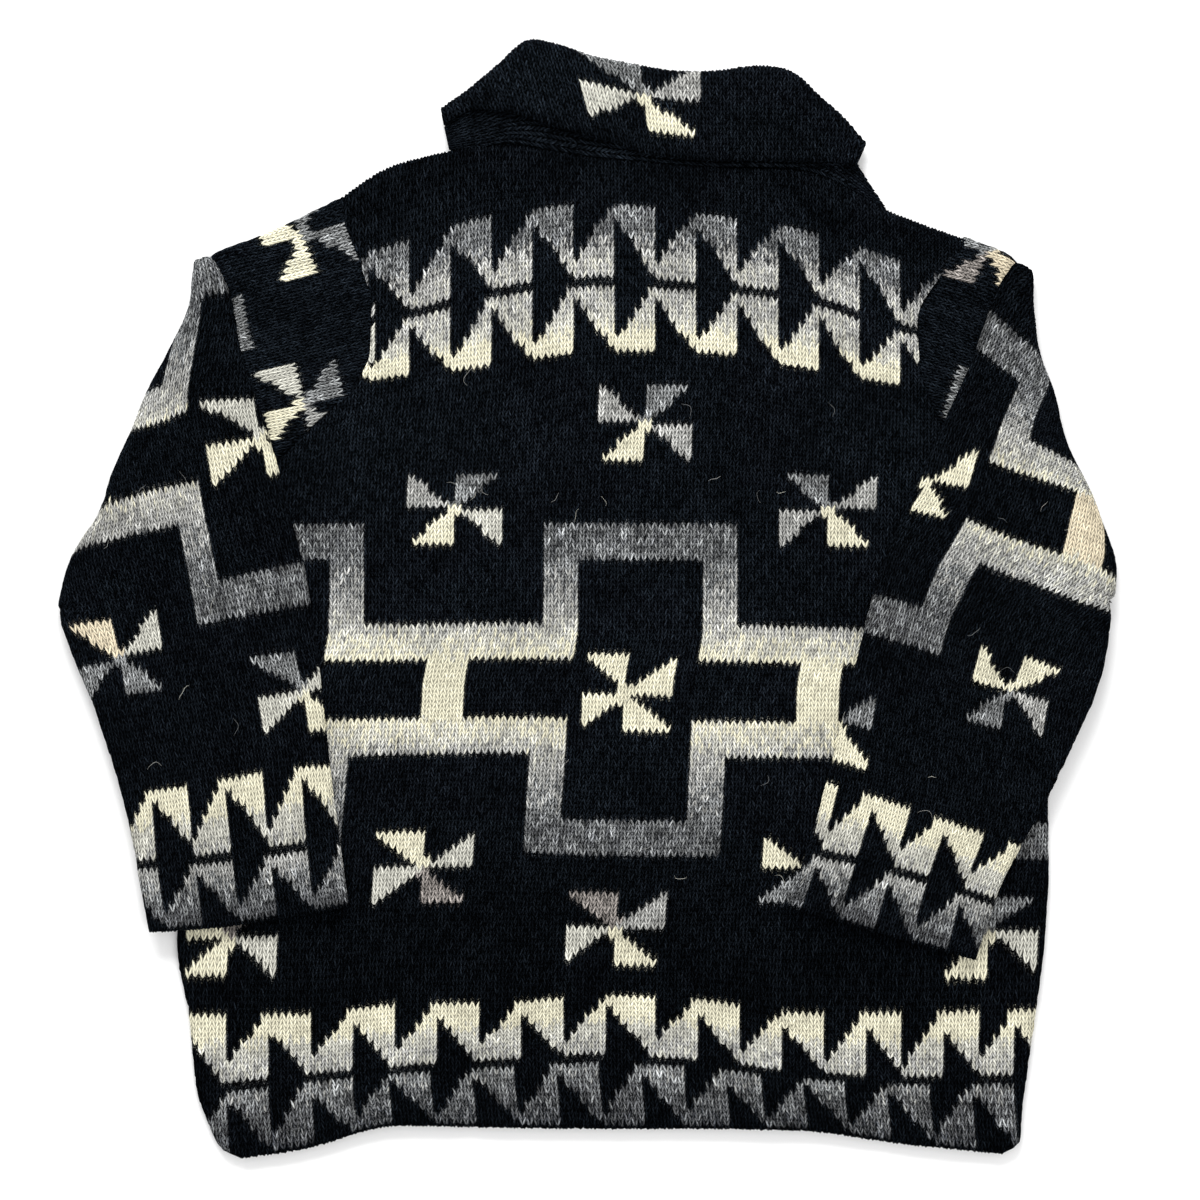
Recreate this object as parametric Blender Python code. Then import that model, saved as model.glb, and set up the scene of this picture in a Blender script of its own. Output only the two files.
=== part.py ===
"""Shawl-collar cardigan in heavy knit, laid face down and flat.

Both sleeves are folded over the back and the collar is folded down over the
back neck.  Metres, +Z up.  The collar points along +Y, the hem along -Y, and
the fronts lie on the surface at z = 0.

The plan tables are in plan units measured on the laid garment: x to the
right, y from the collar down to the hem.
"""
import bpy
import bmesh
import math
import numpy as np

# ---------------------------------------------------------------- sizes
UNIT = 0.00072            # one plan unit
PLAN_X, PLAN_Y = 589.03, 598.82   # plan point that lies over the origin
MM = 0.001

WALL = 4.0                # mm, thickness of the knitted cloth
SLOT = 0.6                # mm, air between two layers of cloth
STACK = 2 * WALL + SLOT   # mm, two layers, such as a flat sleeve
GAP = 0.2                 # mm, half of the gap at a seam
TURN = STACK + 0.4        # mm, height of the axis that a sleeve folds round
NECK_TURN = 9.0           # mm, height of the axis that the collar folds round
EDGE = STACK / 2          # mm, radius of a rounded side

ROWS_HEM_TO_SHOULDER = 193
UNDERARM_ROW = 125

# Heights of a few knitted rows across the body: row number from the hem,
# then the plan y of that row at each station of plan x.
STATION_X = (200, 300, 400, 500, 600, 700, 800, 900, 1000)
ROWS = (
    # row    200   300   400   500   600   700   800   900   1000
    (0,    (1162, 1148, 1124, 1126, 1127, 1127, 1129, 1142, 1152)),
    (13,   (1087, 1076, 1068, 1061, 1056, 1061, 1073, 1078, 1077)),
    (26,   (1018, 1017, 1008, 1006, 999, 1003, 1016, 1016, 1014)),
    (37,   (947, 945, 943, 941, 940, 940, 941, 941, 940)),
    (56,   (850, 848, 845, 843, 847, 847, 845, 848, 850)),
    (75,   (752, 752, 751, 749, 752, 754, 754, 753, 752)),
    (100,  (628, 628, 627, 626, 627, 628, 630, 632, 632)),
    (121,  (523, 523, 522, 522, 522, 522, 523, 524, 524)),
    (156,  (392, 387, 373, 361, 348, 349, 364, 381, 390)),
    (169,  (334, 327, 312, 288, 279, 284, 295, 325, 342)),
    (182,  (280, 270, 247, 217, 206, 216, 232, 262, 284)),
    (193,  (262, 224, 162, 145, 158, 166, 171, 215, 250)),
)

# Side and armhole edges of the body: row, plan x on the left, on the right.
SIDES = (
    # row   left  right
    (0,     233,  1008),
    (2,     222,  1021),
    (6,     209,  1022),
    (13,    196,  1027),
    (26,    189,  1036),
    (37,    177,  1045),
    (52,    178,  1049),
    (75,    188,  1047),
    (105,   202,  1035),
    (118,   210,  1026),
    (125,   215,  1020),
    (131,   246,  1003),
    (138,   283,  965),
    (146,   313,  940),
    (154,   351,  928),
    (162,   370,  920),
    (171,   371,  918),
    (181,   360,  941),
    (189,   344,  962),
    (193,   341,  968),
)

# Front bands, which widen into the shawl's lapels: row, plan x of the outer
# edge on the left, of the opening, and of the outer edge on the right.
BANDS = (
    # row   outer_left  opening  outer_right
    (0,     576,        618,     660),
    (40,    574,        616,     658),
    (80,    586,        628,     670),
    (121,   598,        640,     682),
    (138,   584,        643,     704),
    (156,   545,        647,     752),
    (175,   498,        649,     816),
    (193,   450,        650,     888),
    (204,   474,        650,     838),
)
LAPEL_ROW = 204           # the lapels end under the fold of the collar
# plan y of that end at each station
LAPEL_TOP = (262, 224, 128, 76, 68, 82, 90, 195, 250)

# Folded collar, from its left end to its right end: neck seam, fold line
# and free edge of each section.
COLLAR = (
    # seam_x seam_y  fold_x fold_y  free_x free_y
    (449,    150,    440,   108,    444,   122),
    (478,    147,    466,   90,     474,   108),
    (510,    143,    497,   64,     512,   112),
    (540,    148,    526,   40,     548,   123),
    (572,    154,    556,   43,     582,   133),
    (605,    158,    592,   55,     612,   141),
    (640,    161,    632,   63,     643,   151),
    (680,    165,    675,   70,     680,   157),
    (720,    167,    716,   70,     717,   159),
    (758,    167,    757,   65,     755,   159),
    (790,    168,    792,   71,     790,   159),
    (815,    166,    822,   97,     820,   160),
    (838,    165,    846,   119,    842,   161),
    (856,    164,    867,   143,    858,   163),
)

# Folded sleeves as they lie on the back, from the fold to the cuff: the
# edge that leads from the shoulder, then the edge that leads from the
# underarm.
SLEEVE_LEFT = (
    # shoulder_x shoulder_y underarm_x underarm_y
    (207,        263,       72,        614),
    (217,        286,       69,        630),
    (232,        322,       71,        646),
    (247,        372,       76,        662),
    (266,        425,       83,        678),
    (284,        490,       95,        706),
    (305,        570,       106,       740),
    (318,        650,       118,       777),
    (326,        730,       128,       815),
    (334,        800,       136,       854),
    (341,        850,       142,       890),
    (346,        886,       148,       920),
)
SLEEVE_RIGHT = (
    (1020,       271,       1105,      602),
    (1004,       298,       1109,      622),
    (985,        333,       1107,      644),
    (966,        375,       1102,      672),
    (943,        425,       1092,      702),
    (913,        490,       1078,      732),
    (884,        560,       1064,      762),
    (866,        620,       1050,      792),
    (850,        690,       1035,      820),
    (832,        760,       1018,      850),
    (815,        825,       999,       887),
    (791,        897,       978,       950),
)

# Broad folds in the back: middle of the fold (x, y), direction in degrees,
# half length, half width and height in mm.
FOLDS = (
    # x    y    turn  long  wide  high
    (870, 215,   32,  130,   26,  2.6),
    (640, 300,    4,  170,   70,  1.2),
    (600, 860,   10,  190,   90,  1.4),
    (640, 560,   80,  170,   80,  1.0),
)

YARN = {
    "back": (0.030, 0.033, 0.042),
    "front_left": (0.028, 0.031, 0.040),
    "front_right": (0.028, 0.031, 0.040),
    "sleeve_left": (0.034, 0.037, 0.047),
    "sleeve_right": (0.034, 0.037, 0.047),
    "collar": (0.036, 0.039, 0.048),
    "band_left": (0.024, 0.026, 0.033),
    "band_right": (0.024, 0.026, 0.033),
}


# ---------------------------------------------------------------- plan
def smooth(keys, values):
    """A curve through the table that keeps its rises and falls."""
    k = np.asarray(keys, float)
    v = np.asarray(values, float)
    d = np.diff(v) / np.diff(k)
    m = np.zeros(len(k))
    m[0], m[-1] = d[0], d[-1]
    for i in range(1, len(k) - 1):
        if d[i - 1] * d[i] > 0:
            m[i] = 2 * d[i - 1] * d[i] / (d[i - 1] + d[i])

    def at(x):
        x = float(x)
        i = int(np.clip(np.searchsorted(k, x) - 1, 0, len(k) - 2))
        if x <= k[0]:
            return v[0] + m[0] * (x - k[0])
        if x >= k[-1]:
            return v[-1] + m[-1] * (x - k[-1])
        h = k[i + 1] - k[i]
        t = (x - k[i]) / h
        return ((1 + 2 * t) * (1 - t) ** 2 * v[i] + t * (1 - t) ** 2 * h * m[i]
                + t * t * (3 - 2 * t) * v[i + 1] + t * t * (t - 1) * h * m[i + 1])
    return at


ROW_KEYS = [r[0] for r in ROWS]
ROW_CURVES = [smooth(STATION_X, r[1]) for r in ROWS]
TOP_CURVE = smooth(STATION_X, LAPEL_TOP)
SIDE_LEFT = smooth([s[0] for s in SIDES], [s[1] for s in SIDES])
SIDE_RIGHT = smooth([s[0] for s in SIDES], [s[2] for s in SIDES])
BAND_LEFT = smooth([b[0] for b in BANDS], [b[1] for b in BANDS])
OPENING = smooth([b[0] for b in BANDS], [b[2] for b in BANDS])
BAND_RIGHT = smooth([b[0] for b in BANDS], [b[3] for b in BANDS])


def row_y(x, row):
    """Plan y of a knitted row at plan x."""
    if row > ROWS_HEM_TO_SHOULDER:
        t = (row - ROWS_HEM_TO_SHOULDER) / (LAPEL_ROW - ROWS_HEM_TO_SHOULDER)
        return ROW_CURVES[-1](x) * (1 - t) + TOP_CURVE(x) * t
    return smooth(ROW_KEYS, [c(x) for c in ROW_CURVES])(row)


def lift(x, y):
    """Height in mm by which the broad folds raise the back."""
    total = 0.0
    for fx, fy, turn, long_, wide, high in FOLDS:
        a = math.radians(turn)
        dx, dy = x - fx, y - fy
        s = (dx * math.cos(a) + dy * math.sin(a)) / long_
        w = (-dx * math.sin(a) + dy * math.cos(a)) / wide
        total += high * math.exp(-1.4 * (s * s + w * w))
    # nothing is raised where a sleeve lies on the back, or at its edges
    inner = min(1.0, max(0.0, (x - 372) / 90)) * min(1.0, max(0.0, (930 - x) / 70))
    ends = min(1.0, max(0.0, (y - 176) / 40)) * min(1.0, max(0.0, (1080 - y) / 60))
    return total * inner * ends


def plan(x, y, z):
    """Point in metres from plan x, plan y and a height in mm."""
    return ((x - PLAN_X) * UNIT, (PLAN_Y - y) * UNIT, z * MM)


def rounding(e):
    """Share of the full height at e mm inside a rounded edge."""
    t = min(1.0, max(0.0, e / EDGE))
    return max(0.14, math.sqrt(max(0.0, 1 - (1 - t) ** 2)))


# ---------------------------------------------------------------- meshes
def make(name, verts, faces):
    mesh = bpy.data.meshes.new(name)
    bm = bmesh.new()
    made = [bm.verts.new(v) for v in verts]
    for f in faces:
        ring = []
        for i in f:
            if made[i] not in ring:
                ring.append(made[i])
        if len(ring) > 2:
            bm.faces.new(ring)
    bmesh.ops.triangulate(bm, faces=[f for f in bm.faces if len(f.verts) > 3])
    bmesh.ops.recalc_face_normals(bm, faces=bm.faces)
    bm.to_mesh(mesh)
    bm.free()
    obj = bpy.data.objects.new(name, mesh)
    bpy.context.scene.collection.objects.link(obj)
    mesh.shade_smooth()
    mesh.set_sharp_from_angle(angle=math.radians(40))
    mat = bpy.data.materials.new(name + "_yarn")
    mat.use_nodes = True
    shader = mat.node_tree.nodes["Principled BSDF"]
    shader.inputs["Base Color"].default_value = (*YARN[name], 1.0)
    shader.inputs["Roughness"].default_value = 0.92
    shader.inputs["Metallic"].default_value = 0.0
    mat.diffuse_color = (*YARN[name], 1.0)
    mesh.materials.append(mat)
    return obj


def slab(name, upper, lower):
    """Closed wall from two matching grids of points."""
    rows, cols = len(upper), len(upper[0])
    verts = [p for line in upper for p in line] + [p for line in lower for p in line]
    shift = rows * cols
    faces = []

    def at(j, i):
        return j * cols + i

    for j in range(rows - 1):
        for i in range(cols - 1):
            a, b, c, d = at(j, i), at(j, i + 1), at(j + 1, i + 1), at(j + 1, i)
            faces.append((a, b, c, d))
            faces.append((a + shift, d + shift, c + shift, b + shift))
    rim = ([at(0, i) for i in range(cols)]
           + [at(j, cols - 1) for j in range(1, rows)]
           + [at(rows - 1, i) for i in range(cols - 2, -1, -1)]
           + [at(j, 0) for j in range(rows - 2, 0, -1)])
    for k, a in enumerate(rim):
        b = rim[(k + 1) % len(rim)]
        faces.append((b, a, a + shift, b + shift))
    return make(name, verts, faces)


def tube(name, outer, inner):
    """Closed wall between matching outer and inner rings, open at both ends."""
    sections, n = len(outer), len(outer[0])
    verts = [p for ring in outer for p in ring] + [p for ring in inner for p in ring]
    shift = sections * n
    faces = []
    for j in range(sections - 1):
        for i in range(n):
            k = (i + 1) % n
            a, b, c, d = j * n + i, j * n + k, (j + 1) * n + k, (j + 1) * n + i
            faces.append((a, b, c, d))
            faces.append((a + shift, d + shift, c + shift, b + shift))
    for i in range(n):
        k = (i + 1) % n
        faces.append((k, i, i + shift, k + shift))
        e = (sections - 1) * n
        faces.append((e + i, e + k, e + k + shift, e + i + shift))
    return make(name, verts, faces)


# ---------------------------------------------------------------- body
HEM_ROWS = (0.0, 0.25, 0.9, 4, 8, 13, 19, 26, 32, 38, 47, 57, 68, 80, 92, 104, 115)
ARM_ROWS = (125, 131, 139, 147, 155, 164, 173, 183)
SHOULDER_ROWS = (191.6, 192.6, 193)
PANEL_ROWS = HEM_ROWS + ARM_ROWS + SHOULDER_ROWS
CORNER = 1.26             # mm, second step of a rounded edge


def edge_normal(row, curve, side):
    """Unit direction in plan, out of the body, at an edge row."""
    lo, hi = max(0, row - 1.5), min(ROWS_HEM_TO_SHOULDER, row + 1.5)
    ax, bx = curve(lo), curve(hi)
    ay, by = row_y(ax, lo), row_y(bx, hi)
    dx, dy = bx - ax, by - ay
    size = math.hypot(dx, dy)
    turn = 1 if dy * side > 0 else -1
    return turn * dy / size, -turn * dx / size


def armhole(row, curve, side, away):
    """Plan point on an armhole edge, moved by `away` mm out of the body."""
    x = curve(row)
    y = row_y(x, row)
    nx, ny = edge_normal(row, curve, side)
    return x + nx * away * MM / UNIT, y + ny * away * MM / UNIT


def columns(left, right, count, left_steps, right_steps):
    """Plan x positions between two edges, close together at rounded ones."""
    step = MM / UNIT
    xs = [left + s * step for s in left_steps]
    inner_l = left + (left_steps[-1] if left_steps else 0) * step
    inner_r = right - (right_steps[-1] if right_steps else 0) * step
    for k in range(1, count):
        xs.append(inner_l + (inner_r - inner_l) * k / count)
    xs += [right - s * step for s in reversed(right_steps)]
    return xs


def closed_side(row):
    """1 along the side seam, 0 along the armhole."""
    return min(1.0, max(0.0, (UNDERARM_ROW + 2 - row) / 3))


def closed_top(x):
    """1 along the shoulders, 0 along the neck."""
    return max(min(1.0, max(0.0, (452 - x) / 12)), min(1.0, max(0.0, (x - 878) / 12)))


def top_distance(row):
    return (ROWS_HEM_TO_SHOULDER - row) * 5.0 * UNIT / MM


def share(x, row, from_left, from_right):
    """How much of its height a body panel has near its rounded edges."""
    s = 1.0
    for e in (from_left, from_right):
        if e is not None:
            q = rounding(e)
            c = closed_side(row)
            s = min(s, c * q + (1 - c) * (1.0 if e > 3 else 0.80))
    c = closed_top(x)
    e = top_distance(row)
    s = min(s, c * rounding(e) + (1 - c) * (1.0 if e > 3 else 0.86))
    hem = row * 5.0 * UNIT / MM
    s = min(s, 1.0 if hem > 3 else (0.86 if hem > 0.5 else 0.55))
    return s


def back_panel():
    upper, lower = [], []
    middle = WALL + SLOT / 2 + 0.15
    for row in PANEL_ROWS:
        left, right = SIDE_LEFT(row), SIDE_RIGHT(row)
        xs = columns(left, right, 14, (0, CORNER, EDGE), (0, CORNER, EDGE))
        up, low = [], []
        for i, x in enumerate(xs):
            y = row_y(x, row)
            fl = (x - left) * UNIT / MM
            fr = (right - x) * UNIT / MM
            px, py = x, y
            if row >= UNDERARM_ROW and i == 0:
                px, py = armhole(row, SIDE_LEFT, -1, -GAP)
            if row >= UNDERARM_ROW and i == len(xs) - 1:
                px, py = armhole(row, SIDE_RIGHT, 1, -GAP)
            if row == ROWS_HEM_TO_SHOULDER:
                py += GAP * MM / UNIT
            raised = lift(x, y)
            s = share(x, row, fl, fr)
            up.append(plan(px, py, middle + (STACK - middle) * s + raised))
            low.append(plan(px, py, WALL + SLOT + raised))
        upper.append(up)
        lower.append(low)
    return slab("back", upper, lower)


def front_panel(name, side):
    """One front, from the side seam to the band, outer face down."""
    upper, lower = [], []
    for row in PANEL_ROWS:
        if side < 0:
            left, right = SIDE_LEFT(row), BAND_LEFT(row) - GAP * MM / UNIT
            xs = columns(left, right, 6, (0, CORNER, EDGE), (0,))
        else:
            left, right = BAND_RIGHT(row) + GAP * MM / UNIT, SIDE_RIGHT(row)
            xs = columns(left, right, 6, (0,), (0, CORNER, EDGE))
        up, low = [], []
        for i, x in enumerate(xs):
            y = row_y(x, row)
            px, py = x, y
            edge = 0 if side < 0 else len(xs) - 1
            e = ((x - left) if side < 0 else (right - x)) * UNIT / MM
            if row >= UNDERARM_ROW and i == edge:
                px, py = armhole(row, SIDE_LEFT if side < 0 else SIDE_RIGHT, side, -GAP)
            s = share(x, row, e, None)
            low.append(plan(px, py, (WALL + 0.15) * (1 - s)))
            up.append(plan(px, py, WALL))
        upper.append(up)
        lower.append(low)
    return slab(name, upper, lower)


def band_panel(name, side):
    """Front band and shawl lapel in one, outer face down."""
    upper, lower = [], []
    rows = HEM_ROWS + ARM_ROWS + (193, 196, 200, LAPEL_ROW)
    for row in rows:
        if side < 0:
            a, b = BAND_LEFT(row) + GAP * MM / UNIT, OPENING(row) - GAP * MM / UNIT
        else:
            a, b = OPENING(row) + GAP * MM / UNIT, BAND_RIGHT(row) - GAP * MM / UNIT
        up, low = [], []
        for k in range(4):
            x = a + (b - a) * k / 3
            y = row_y(x, row)
            hem = row * 5.0 * UNIT / MM
            s = 1.0 if hem > 3 else (0.86 if hem > 0.5 else 0.55)
            if row == LAPEL_ROW:
                s = 0.7
            low.append(plan(x, y, (WALL + 0.15) * (1 - s)))
            up.append(plan(x, y, WALL))
        upper.append(up)
        lower.append(low)
    return slab(name, upper, lower)


# ---------------------------------------------------------------- sleeves
def sleeve(name, table, curve, side):
    """A flattened tube from the armhole to the cuff, folded over the back."""
    tx, ty, ux, uy = table[0]
    size = math.hypot(ux - tx, uy - ty)
    fx, fy = (ux - tx) / size, (uy - ty) / size          # along the fold
    nx, ny = (-fy, fx) if side < 0 else (fy, -fx)        # out of the garment
    if nx * side < 0:
        nx, ny = -nx, -ny
    unit_mm = UNIT / MM
    radius = TURN - EDGE                                 # of the middle layer
    arc = math.pi * radius / unit_mm                     # plan units

    def unfold(x, y):
        """Where a point of the folded part lies before it is folded."""
        d = (x - tx) * nx + (y - ty) * ny
        return x - 2 * d * nx + arc * nx, y - 2 * d * ny + arc * ny

    def fold(x, y, z):
        """Roll a point past the fold line round the fold's axis."""
        d = (x - tx) * nx + (y - ty) * ny
        if d <= 0:
            return x, y, z
        r = TURN - z
        bx, by = x - d * nx, y - d * ny
        if d < arc:
            t = math.pi * d / arc
            out = r * math.sin(t) / unit_mm
            return bx + out * nx, by + out * ny, TURN - r * math.cos(t)
        out = arc - d
        return bx + out * nx, by + out * ny, TURN + r

    # sections, each a list of plan points from the shoulder edge to the
    # underarm edge, as they lie before the fold
    rows = (193, 192.6, 191.6) + tuple(reversed(ARM_ROWS[1:]))
    hole = [armhole(r, curve, side, GAP) for r in rows]
    end = (curve(UNDERARM_ROW), row_y(curve(UNDERARM_ROW), UNDERARM_ROW))
    end = (end[0] + side * GAP / unit_mm, end[1])
    last = hole[-1]
    span = math.hypot(end[0] - last[0], end[1] - last[1]) * unit_mm
    hole += [(end[0] + (last[0] - end[0]) * s / span,
              end[1] + (last[1] - end[1]) * s / span) for s in (EDGE, CORNER, 0)]
    steps = [0.0]
    for a, b in zip(hole, hole[1:]):
        steps.append(steps[-1] + math.hypot(b[0] - a[0], b[1] - a[1]))
    shares = [s / steps[-1] for s in steps]
    count = len(shares)

    def straight(ax, ay, bx, by):
        """Plan points along a straight section, close together at its ends."""
        length = math.hypot(bx - ax, by - ay) * unit_mm
        along = []
        for k, s in enumerate(shares):
            if k < 3:
                d = (0, CORNER, EDGE)[k]
            elif k >= count - 3:
                d = length - (EDGE, CORNER, 0)[k - count + 3]
            else:
                lo, hi = shares[2], shares[-3]
                d = EDGE + (length - 2 * EDGE) * (s - lo) / (hi - lo)
            along.append((ax + (bx - ax) * d / length, ay + (by - ay) * d / length))
        return along

    def walk(points, mm):
        """Plan point that lies mm along a line of points."""
        for a, b in zip(points, points[1:]):
            size = math.hypot(b[0] - a[0], b[1] - a[1]) * unit_mm
            if mm <= size:
                return a[0] + (b[0] - a[0]) * mm / size, a[1] + (b[1] - a[1]) * mm / size
            mm -= size
        return points[-1]

    at_fold = straight(tx, ty, ux, uy)
    sections = []
    for t in (0, 0.18, 0.38, 0.58, 0.79, 1.0):
        sections.append([(h[0] * (1 - t) + f[0] * t, h[1] * (1 - t) + f[1] * t)
                         for h, f in zip(hole, at_fold)])
    for t in (0.2, 0.4, 0.6, 0.8, 1.0):
        sections.append([(p[0] + arc * t * nx, p[1] + arc * t * ny) for p in at_fold])
    for sx, sy, vx, vy in table[1:]:
        a, b = unfold(sx, sy), unfold(vx, vy)
        sections.append(straight(a[0], a[1], b[0], b[1]))
    # the cuff's turned hem has a rounded end
    sx, sy, vx, vy = table[-1]
    px, py, qx, qy = table[-2]
    back_a = unfold(sx + (px - sx) * 0.05, sy + (py - sy) * 0.05)
    back_b = unfold(vx + (qx - vx) * 0.05, vy + (qy - vy) * 0.05)
    sections.insert(-1, straight(back_a[0], back_a[1], back_b[0], back_b[1]))

    outer, inner = [], []
    for j, pts in enumerate(sections):
        seam = 0.80 if j == 0 else (0.70 if j == len(sections) - 1 else 1.0)
        out_ring, in_ring = [], []
        mid = EDGE
        for k, (x, y) in enumerate(pts):
            s = (0.0, 0.707, 1.0)[k] if k < 3 else (
                (1.0, 0.707, 0.0)[k - count + 3] if k >= count - 3 else 1.0)
            out_ring.append((x, y, mid + EDGE * s * (seam if s > 0.8 else 1.0)))
            # the inner ring starts a wall's thickness inside the edges
            q = k if k < 3 else (k - count + 3 if k >= count - 3 else None)
            if k < 3:
                ix, iy = walk(pts, (WALL, WALL + 0.3, WALL + 1.6)[k])
            elif k >= count - 3:
                ix, iy = walk(pts[::-1], (WALL + 1.6, WALL + 0.3, WALL)[q])
            else:
                ix, iy = x, y
            iz = mid if k in (0, count - 1) else mid + SLOT / 2
            in_ring.append((ix, iy, iz))
        # mirror the two upper halves to the lower side
        out_low = [(x, y, 2 * mid - z) for x, y, z in reversed(out_ring[1:-1])]
        in_low = [(x, y, 2 * mid - z) for x, y, z in reversed(in_ring[1:-1])]
        outer.append([plan(*fold(*p)) for p in out_ring + out_low])
        inner.append([plan(*fold(*p)) for p in in_ring + in_low])
    return tube(name, outer, inner)


# ---------------------------------------------------------------- collar
def neck_edge(x):
    """Plan y of the back's neck edge, on the straight steps of its wall."""
    row = ROWS_HEM_TO_SHOULDER
    xs = columns(SIDE_LEFT(row), SIDE_RIGHT(row), 14, (0, CORNER, EDGE), (0, CORNER, EDGE))
    return float(np.interp(x, xs, [row_y(v, row) for v in xs]))


def collar():
    """Wall folded over its top line: under layer, fold, outer layer."""
    unit_mm = UNIT / MM
    under_low, under_high = WALL + SLOT, STACK
    outer_low, outer_high = NECK_TURN + 0.4, NECK_TURN + 0.4 + WALL
    radius = NECK_TURN - under_low
    back_x = columns(SIDE_LEFT(193), SIDE_RIGHT(193), 14, (0, CORNER, EDGE), (0, CORNER, EDGE))
    # sections at the back's own steps along the neck, and at the ends
    seam_x = smooth(range(len(COLLAR)), [c[0] for c in COLLAR])
    keys = []
    for x in back_x:
        if 455 < x < 795:
            lo, hi = 0.0, float(len(COLLAR) - 1)
            for _ in range(40):
                mid = (lo + hi) / 2
                if seam_x(mid) < x:
                    lo = mid
                else:
                    hi = mid
            keys.append(lo)
    for k in range(len(COLLAR)):
        if all(abs(k - other) > 0.45 for other in keys):
            keys.append(float(k))
    merged = sorted(keys)
    curves = [smooth(range(len(COLLAR)), [c[i] for c in COLLAR]) for i in range(6)]
    rings = []
    for k in merged:
        mx, my, gx, gy, ex, ey = [c(k) for c in curves]
        if mx < 796:
            my = min(neck_edge(mx), my + 40)
        my -= 2 * GAP / unit_mm

        def along(ax, ay, bx, by, mm):
            size = math.hypot(bx - ax, by - ay) * unit_mm
            return ax + (bx - ax) * mm / size, ay + (by - ay) * mm / size

        cx, cy = along(gx, gy, mx, my, radius)           # over the fold's axis
        sx, sy = along(gx, gy, ex, ey, radius)
        length = math.hypot(ex - sx, ey - sy) * unit_mm
        hx, hy = (cx + sx) / 2, (cy + sy) / 2
        ring = [(mx, my, under_low), ((mx + cx) / 2, (my + cy) / 2, under_low),
                (cx, cy, under_low)]
        for deg in (45, 90, 135):
            a = math.radians(deg)
            t = math.sin(a)
            bx, by = (cx, cy) if deg < 90 else ((sx, sy) if deg > 90 else (hx, hy))
            ring.append((bx + (gx - bx) * t, by + (gy - by) * t,
                         NECK_TURN - radius * math.cos(a)))
        edge = min(1.2, length * 0.3)
        tip = along(ex, ey, sx, sy, edge)
        ring += [(sx, sy, outer_high), ((sx + ex) / 2, (sy + ey) / 2, outer_high),
                 (tip[0], tip[1], outer_high),
                 (ex, ey, outer_high - 1.2), (ex, ey, outer_low + 1.0),
                 (tip[0], tip[1], outer_low), ((sx + ex) / 2, (sy + ey) / 2, outer_low),
                 (sx, sy, outer_low)]
        inner = 0.4 / radius
        ring += [(hx + (gx - hx) * inner, hy + (gy - hy) * inner, NECK_TURN),
                 (cx, cy, under_high), ((mx + cx) / 2, (my + cy) / 2, under_high),
                 (mx, my, under_high)]
        rings.append([plan(*p) for p in ring])
    n = len(rings[0])
    verts = [p for ring in rings for p in ring]
    faces = []
    for j in range(len(rings) - 1):
        for i in range(n):
            k = (i + 1) % n
            faces.append((j * n + i, j * n + k, (j + 1) * n + k, (j + 1) * n + i))
    # ends: strips between the outer and the inner side of the section
    for j, flip in ((0, False), (len(rings) - 1, True)):
        o = j * n
        pairs = [(0, 17), (1, 16), (2, 15), (3, 14), (4, 14), (5, 14), (6, 13),
                 (7, 12), (8, 11), (9, 10)]
        for (a, b), (c, d) in zip(pairs, pairs[1:]):
            quad = []
            for v in (a, c, d, b):
                if o + v not in quad:
                    quad.append(o + v)
            faces.append(tuple(reversed(quad)) if flip else tuple(quad))
    return make("collar", verts, faces)


def build():
    for obj in list(bpy.data.objects):
        bpy.data.objects.remove(obj, do_unlink=True)
    back_panel()
    front_panel("front_left", -1)
    front_panel("front_right", 1)
    band_panel("band_left", -1)
    band_panel("band_right", 1)
    sleeve("sleeve_left", SLEEVE_LEFT, SIDE_LEFT, -1)
    sleeve("sleeve_right", SLEEVE_RIGHT, SIDE_RIGHT, 1)
    collar()


build()
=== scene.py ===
"""Looks of the shawl-collar cardigan that lies face down with folded sleeves.

Every visible cloth is a thin knitted shell on the form of its solid.  A shell
is a grid of stitches: four narrow quads for each stitch, so that the ribs of
the knitting stand out and the rows run in a zigzag, with the yarn's colour
worked out for each stitch from a few rules.

Plan units are those of the solids: x to the right, y from the collar to the
hem, 0.72 mm each.  Heights are in mm.
"""
import bpy
import math
import numpy as np
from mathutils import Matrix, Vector

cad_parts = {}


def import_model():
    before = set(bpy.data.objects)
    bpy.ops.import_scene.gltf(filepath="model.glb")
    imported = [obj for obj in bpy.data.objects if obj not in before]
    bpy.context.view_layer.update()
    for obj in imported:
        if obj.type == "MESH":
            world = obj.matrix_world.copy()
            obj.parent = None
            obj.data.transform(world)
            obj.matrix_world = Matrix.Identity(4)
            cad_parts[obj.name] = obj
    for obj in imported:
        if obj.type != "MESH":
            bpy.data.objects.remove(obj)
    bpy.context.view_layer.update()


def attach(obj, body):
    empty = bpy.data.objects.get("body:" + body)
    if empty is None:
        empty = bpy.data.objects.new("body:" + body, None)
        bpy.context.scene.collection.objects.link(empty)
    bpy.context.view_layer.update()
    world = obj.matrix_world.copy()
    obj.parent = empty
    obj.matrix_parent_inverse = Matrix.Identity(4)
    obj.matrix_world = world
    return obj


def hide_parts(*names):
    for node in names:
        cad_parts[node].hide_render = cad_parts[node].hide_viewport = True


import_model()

UNIT = 0.00072
PLAN_X, PLAN_Y = 589.03, 598.82
PX = 0.72                 # mm for each plan unit
ROW = 3.6                 # mm, height of a knitted row
WALL, SLOT, STACK = 4.0, 0.6, 8.6
HALF = STACK / 2          # half of two layers
AXIS = 9.0                # height of the axis of the sleeves' fold
LEAN = 1.1                # rows by which a stitch's middle hangs lower
UNDERARM_ROW = 125
TOP_ROW = 193

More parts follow.
